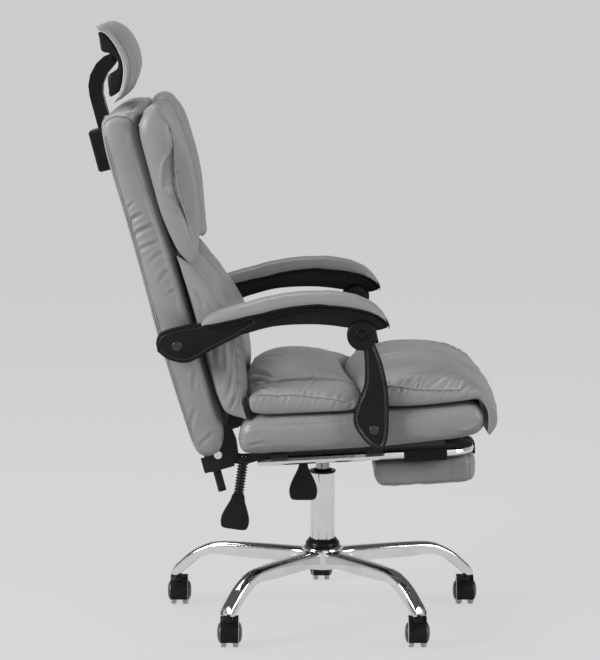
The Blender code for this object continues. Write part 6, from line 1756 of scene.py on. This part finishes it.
@dataclass
class Base:
    """The star base, the column and the five twin-wheel casters."""

    carriers: Carriers
    legs: int = 5
    reach: float = 0.316
    rise: float = 0.146
    root_width: float = 0.036
    tip_width: float = 0.028
    hub_radius: float = 0.043
    hub_bottom: float = 0.109
    hub_height: float = 0.046
    wheel_radius: float = 0.029
    wheel_gap: float = 0.013
    tread_width: float = 0.012
    cap_depth: float = 0.0065
    trail: float = 0.0185

    def build(self) -> None:
        """Build the star, the column's cover pieces and the casters."""
        self._star()
        self._column()
        for index in range(self.legs):
            self._caster(index)

    def _stem(self, index: int) -> Vector:
        """Return the foot of one caster's stem."""
        turn = math.pi / 2 + FULL_TURN * index / self.legs
        return self.carriers.column + Vector((self.reach * math.cos(turn), self.reach * math.sin(turn), 0))

    def _leg(self, turn: float) -> bpy.types.Mesh:
        """Return one pressed leg with rounded shoulders, swept from the hub to its tip."""
        shares = ((0.085, 1.0, 1.0), (0.3, 1.003, 0.96), (0.58, 1.0, 0.9), (0.745, 0.979, 0.74),
            (0.84, 0.905, 0.8), (0.92, 0.8, 0.9), (0.99, 0.665, 0.87), (1.02, 0.6, 0.62), (1.038, 0.52, 0.18))
        spine = catmull(shares, 46)
        rows = []
        for run, top_share, depth_share in spine:
            half = (self.root_width + (self.tip_width - self.root_width) * run / 1.038) / 2
            flare = 0.007 * max(0.0, 1 - (run - 0.085) / 0.1) ** 2
            half += flare
            top, depth = top_share * self.rise, 0.03 * depth_share
            corner = min(0.0085, depth / 2.2)
            row = [(-half, top - depth), (-half, top - corner)]
            row += [(-half + corner * (1 - math.cos(a)), top - corner + corner * math.sin(a))
                    for a in np.linspace(math.pi / 10, math.pi / 2, 5)]
            row += [(-half * 0.3, top + 0.0006), (half * 0.3, top + 0.0006)]
            row += [(half - corner * (1 - math.cos(a)), top - corner + corner * math.sin(a))
                    for a in np.linspace(math.pi / 2, math.pi / 10, 5)]
            row += [(half, top - corner), (half, top - depth)]
            lip = 0.0022
            row += [(half - lip, top - depth), (half - lip, top - depth + 0.006),
                (-half + lip, top - depth + 0.006), (-half + lip, top - depth)]
            rows.append([(run * self.reach, y, z) for y, z in row])
        places = [point for row in rows for point in row]
        stand = Matrix.Translation(self.carriers.column) @ Matrix.Rotation(turn, 4, "Z")
        return new_mesh("leg", places, ladder(len(rows), len(rows[0])), stand)

    def _star(self) -> None:
        """Build the star: five legs, the hub and the stem sockets."""
        parts = [self._leg(math.pi / 2 + FULL_TURN * i / self.legs) for i in range(self.legs)]
        top = self.hub_bottom + self.hub_height
        r = self.hub_radius
        hub = [(self.hub_bottom, 0.026), (self.hub_bottom, r - 0.003), (self.hub_bottom + 0.002, r - 0.0008),
            (self.hub_bottom + 0.006, r), (top - 0.012, r), (top - 0.005, r - 0.0012),
            (top - 0.0015, r - 0.005), (top, r - 0.01), (top, 0.026)]
        parts.append(turned_mesh("hub", hub, self.carriers.column, (0, 0, 1), 72, bored=True))
        for index in range(self.legs):
            parts.append(turned_mesh("socket", rounded_profile(0.0712, 0.0845, 0.0078, 0.001),
                self._stem(index), (0, 0, 1), 28))
        piece = show("chrome_star", joined("chrome_star", parts))
        finish_piece(piece, "base", Slot.CHROME, ("base_star",), crease=38)

    def _column(self) -> None:
        """Build the column's tube, its collar and its flanged bush, all turned smooth."""
        seat = self.hub_bottom + self.hub_height
        tube = mm([(105, 0), (105, 24), (106, 25), (305.5, 25), (306.5, 24), (306.5, 15), (140, 15),
            (140, 0)])
        collar = [(seat + along, radius) for along, radius in mm([(0.3, 25.5), (0.3, 34.5), (1.2, 35),
            (4.2, 35), (6.8, 33), (12, 29), (13.8, 27.5), (13.8, 25.5)])]
        bush = mm([(306.8, 14.5), (306.8, 26.6), (307.4, 27.1), (310, 27.1), (310.6, 26.4), (311, 20),
            (313, 18.5), (313.8, 17.2), (313.8, 14.5)])
        for name, node, profile, slot, crease, bored in (
                ("column_tube_cover", "column_tube", tube, Slot.CHROME, 40, False),
                ("hub_collar", "column_collar", collar, Slot.BLACK_PLASTIC, 40, True),
                ("guide_bush_flange", "column_bush", bush, Slot.BLACK_PLASTIC, 30, True)):
            mesh = turned_mesh(name, profile, self.carriers.column, (0, 0, 1), 72, bored)
            finish_piece(show(name, mesh), "base", slot, (node,), crease=crease)

    def _wheel(self, index: int, letter: str, sign: int, hub: Vector) -> None:
        """Build one wheel: pale tyre, dark domed cap and its fine ring."""
        axis = (-sign, 0, 0)
        r, near = self.wheel_radius, self.wheel_gap / 2
        edge = near + self.tread_width
        tyre = [(near, 0.0035), (near, 0.021), (near + 0.0004, 0.0245), (near + 0.0005, r - 0.0018),
            (near + 0.0018, r - 0.0004), (near + 0.0032, r), (edge - 0.0032, r), (edge - 0.0016, r - 0.0005),
            (edge - 0.0004, r - 0.002), (edge, r - 0.0045), (edge - 0.0002, 0.0215), (edge - 0.0012, 0.0208),
            (edge - 0.0012, 0.0)]
        name = f"caster_{index + 1}_wheel_{letter}"
        wheel = show(name + "_tyre", turned_mesh(name + "_tyre", tyre, hub, axis, 56))
        finish_piece(wheel, name, Slot.WHEEL_TREAD, (name,), crease=34)
        dome = [(edge - 0.0015, 0.0), (edge - 0.0013, 0.0206)]
        dome += [(edge - 0.0008 + (self.cap_depth + 0.0006) * math.sin(a), 0.0203 * math.cos(a) ** 0.8)
            for a in np.linspace(0.05, math.pi / 2 - 0.12, 9)]
        dome.append((edge + self.cap_depth - 0.0002, 0.0))
        cap = show(name + "_cap", turned_mesh(name + "_cap", dome, hub, axis, 48))
        finish_piece(cap, name, Slot.BLACK_PLASTIC, finish=WHEEL_CAP, crease=40)

    def _caster(self, index: int) -> None:
        """Build one caster's hood, web and stem, and its wheels."""
        stem = self._stem(index)
        hub = stem + Vector((0, self.trail, self.wheel_radius))
        matrix = Matrix(((0, -1, 0), (1, 0, 0), (0, 0, 1))).to_4x4()
        matrix.translation = hub
        inner, outer = 0.0311, 0.0341
        start, end = math.radians(68), math.radians(203)
        arc = [(outer * math.cos(a), outer * math.sin(a)) for a in np.linspace(start, end, 34)]
        back = [(inner * math.cos(a), inner * math.sin(a)) for a in np.linspace(end, start, 34)]
        hood = plate_mesh("hood", np.array(arc + back), -0.018, 0.018, matrix, round_by=0.0009)
        skirt = [(0.033 * math.cos(a), 0.033 * math.sin(a))
            for a in np.linspace(start + 0.07, end - 0.07, 30)]
        eye = [(0.011 * math.cos(a), 0.011 * math.sin(a)) for a in np.linspace(end, start + FULL_TURN, 22)]
        web = plate_mesh("web", np.array(skirt + eye), -0.005, 0.005, matrix, round_by=0.0008)
        post = turned_mesh("post", [(0.055, 0.0), (0.055, 0.0095), (0.0625, 0.0088), (0.065, 0.0055),
            (0.0822, 0.0055), (0.0825, 0.0)], stem, (0, 0, 1), 28)
        name = f"caster_{index + 1}"
        piece = show(name + "_hood", joined(name + "_hood", [hood, web, post]))
        finish_piece(piece, name, Slot.BLACK_PLASTIC, (name + "_housing",), crease=34)
        for letter, sign in (("a", 1), ("b", -1)):
            self._wheel(index, letter, sign, hub)


# Studio


@dataclass
class Studio:
    """The floor, lights and camera around the chair."""

    middle: Vector
    floor_radius: float = 60.0
    backdrop: float = 0.6
    world_strength: float = 0.26
    lamps: tuple = (("key", (-3.1, -1.9, 2.1), 1.4, 172.0), ("top", (-0.6, 0.9, 3.4), 2.2, 55.0),
        ("fill", (1.2, -4.2, 2.2), 2.2, 12.0), ("side", (3.3, -1.9, 2.0), 1.8, 100.0))

    def build(self) -> None:
        """Build everything around the chair."""
        self._floor()
        self._lights()
        self._world()
        self._camera()

    def _floor(self) -> None:
        """Build the pale floor, large enough to fill the photograph's frame."""
        count = 64
        rim = [(self.middle.x + self.floor_radius * math.cos(a),
            self.middle.y + self.floor_radius * math.sin(a), 0)
            for a in np.linspace(0, FULL_TURN, count, endpoint=False)]
        mesh = bpy.data.meshes.new("studio_floor")
        mesh.from_pydata(rim, [], [tuple(range(count))])
        floor = show("studio_floor", mesh)
        floor.data.materials.append(self._paper())

    def _shown(self, nodes: NodeBuilder) -> bpy.types.NodeSocket:
        """Return 1 for the rays that show the background, and 0 for the rays that light the chair."""
        path = nodes.add("ShaderNodeLightPath")
        either = nodes.add("ShaderNodeMath", operation="MAXIMUM")
        nodes.join(path.outputs["Is Camera Ray"], either.inputs[0])
        nodes.join(path.outputs["Is Glossy Ray"], either.inputs[1])
        shown = nodes.add("ShaderNodeMath", operation="MAXIMUM")
        nodes.join(either.outputs[0], shown.inputs[0])
        nodes.join(path.outputs["Is Transmission Ray"], shown.inputs[1])
        return shown.outputs[0]

    def _paper(self) -> bpy.types.Material:
        """Return the floor's matt paper: partly even, partly lit, so that it keeps the chair's shadow."""
        material = bpy.data.materials.new("floor_paper")
        material.use_nodes = True
        nodes = NodeBuilder(material.node_tree)
        paper = material.node_tree.nodes["Principled BSDF"]
        paper.inputs["Base Color"].default_value = (0.36, 0.36, 0.36, 1.0)
        paper.inputs["Roughness"].default_value = 0.9
        paper.inputs["Specular IOR Level"].default_value = 0.1
        even = nodes.add("ShaderNodeEmission", Color=(0.73, 0.73, 0.735, 1.0), Strength=1.0)
        share = nodes.add("ShaderNodeMath", operation="MULTIPLY")
        nodes.join(self._shown(nodes), share.inputs[0])
        share.inputs[1].default_value = 0.8
        blend = nodes.add("ShaderNodeMixShader")
        nodes.join(share.outputs[0], blend.inputs[0])
        nodes.join(paper.outputs[0], blend.inputs[1])
        nodes.join(even.outputs[0], blend.inputs[2])
        nodes.join(blend.outputs[0], material.node_tree.nodes["Material Output"].inputs[0])
        return material

    def _lights(self) -> None:
        """Build the soft lights."""
        target = Vector((self.middle.x, self.middle.y, 0.65))
        for name, place, size, power in self.lamps:
            data = bpy.data.lights.new(name, "AREA")
            data.shape = "SQUARE"
            data.size = size
            data.energy = power
            lamp = bpy.data.objects.new(name, data)
            lamp.location = Vector(place)
            lamp.rotation_euler = (target - lamp.location).to_track_quat("-Z", "Y").to_euler()
            bpy.context.scene.collection.objects.link(lamp)

    def _world(self) -> None:
        """Light the scene evenly, and show a pale backdrop that darkens towards the ceiling."""
        world = bpy.data.worlds.new("studio_world")
        bpy.context.scene.world = world
        world.use_nodes = True
        nodes = NodeBuilder(world.node_tree)
        light = world.node_tree.nodes["Background"]
        light.inputs["Color"].default_value = (0.95, 0.95, 0.97, 1.0)
        light.inputs["Strength"].default_value = self.world_strength
        split = nodes.add("ShaderNodeSeparateXYZ",
            Vector=nodes.add("ShaderNodeTexCoord").outputs["Generated"])
        height = nodes.ramp(split.outputs["Z"], 0.12, 0.42)
        shade = nodes.mix(height, (self.backdrop,) * 3, (0.1, 0.1, 0.105))
        backdrop = nodes.add("ShaderNodeBackground", Color=shade, Strength=1.0)
        blend = nodes.add("ShaderNodeMixShader")
        nodes.join(self._shown(nodes), blend.inputs[0])
        nodes.join(light.outputs[0], blend.inputs[1])
        nodes.join(backdrop.outputs[0], blend.inputs[2])
        nodes.join(blend.outputs[0], world.node_tree.nodes["World Output"].inputs[0])

    def _camera(self) -> None:
        """Stand the camera where the photograph was taken."""
        data = bpy.data.cameras.new("photo_camera")
        data.sensor_fit = "VERTICAL"
        data.sensor_height = 36.0
        data.lens = 2662.97 * 36.0 / PHOTO_HEIGHT
        data.clip_end = 60.0
        camera = bpy.data.objects.new("photo_camera", data)
        camera.location = (self.middle.x - 0.0465, self.middle.y - 5.3693, 1.3686)
        camera.rotation_euler = (math.radians(90 - 8.1486), 0.0, 0.0)
        bpy.context.scene.collection.objects.link(camera)
        bpy.context.scene.camera = camera


def main() -> None:
    """Dress the chair and set up the studio."""
    logging.basicConfig(level=logging.INFO, format="%(name)s %(message)s")
    carriers = Carriers()
    follower = Follower()
    for part in (Seat, Back, Headrest, Armrests, Footrest):
        part(carriers, follower).build()
    Levers(carriers).build()
    Base(carriers).build()
    dress_nodes()
    bpy.context.scene.view_settings.view_transform = "Standard"
    Studio(carriers.column).build()


if __name__ == "__main__":
    main()
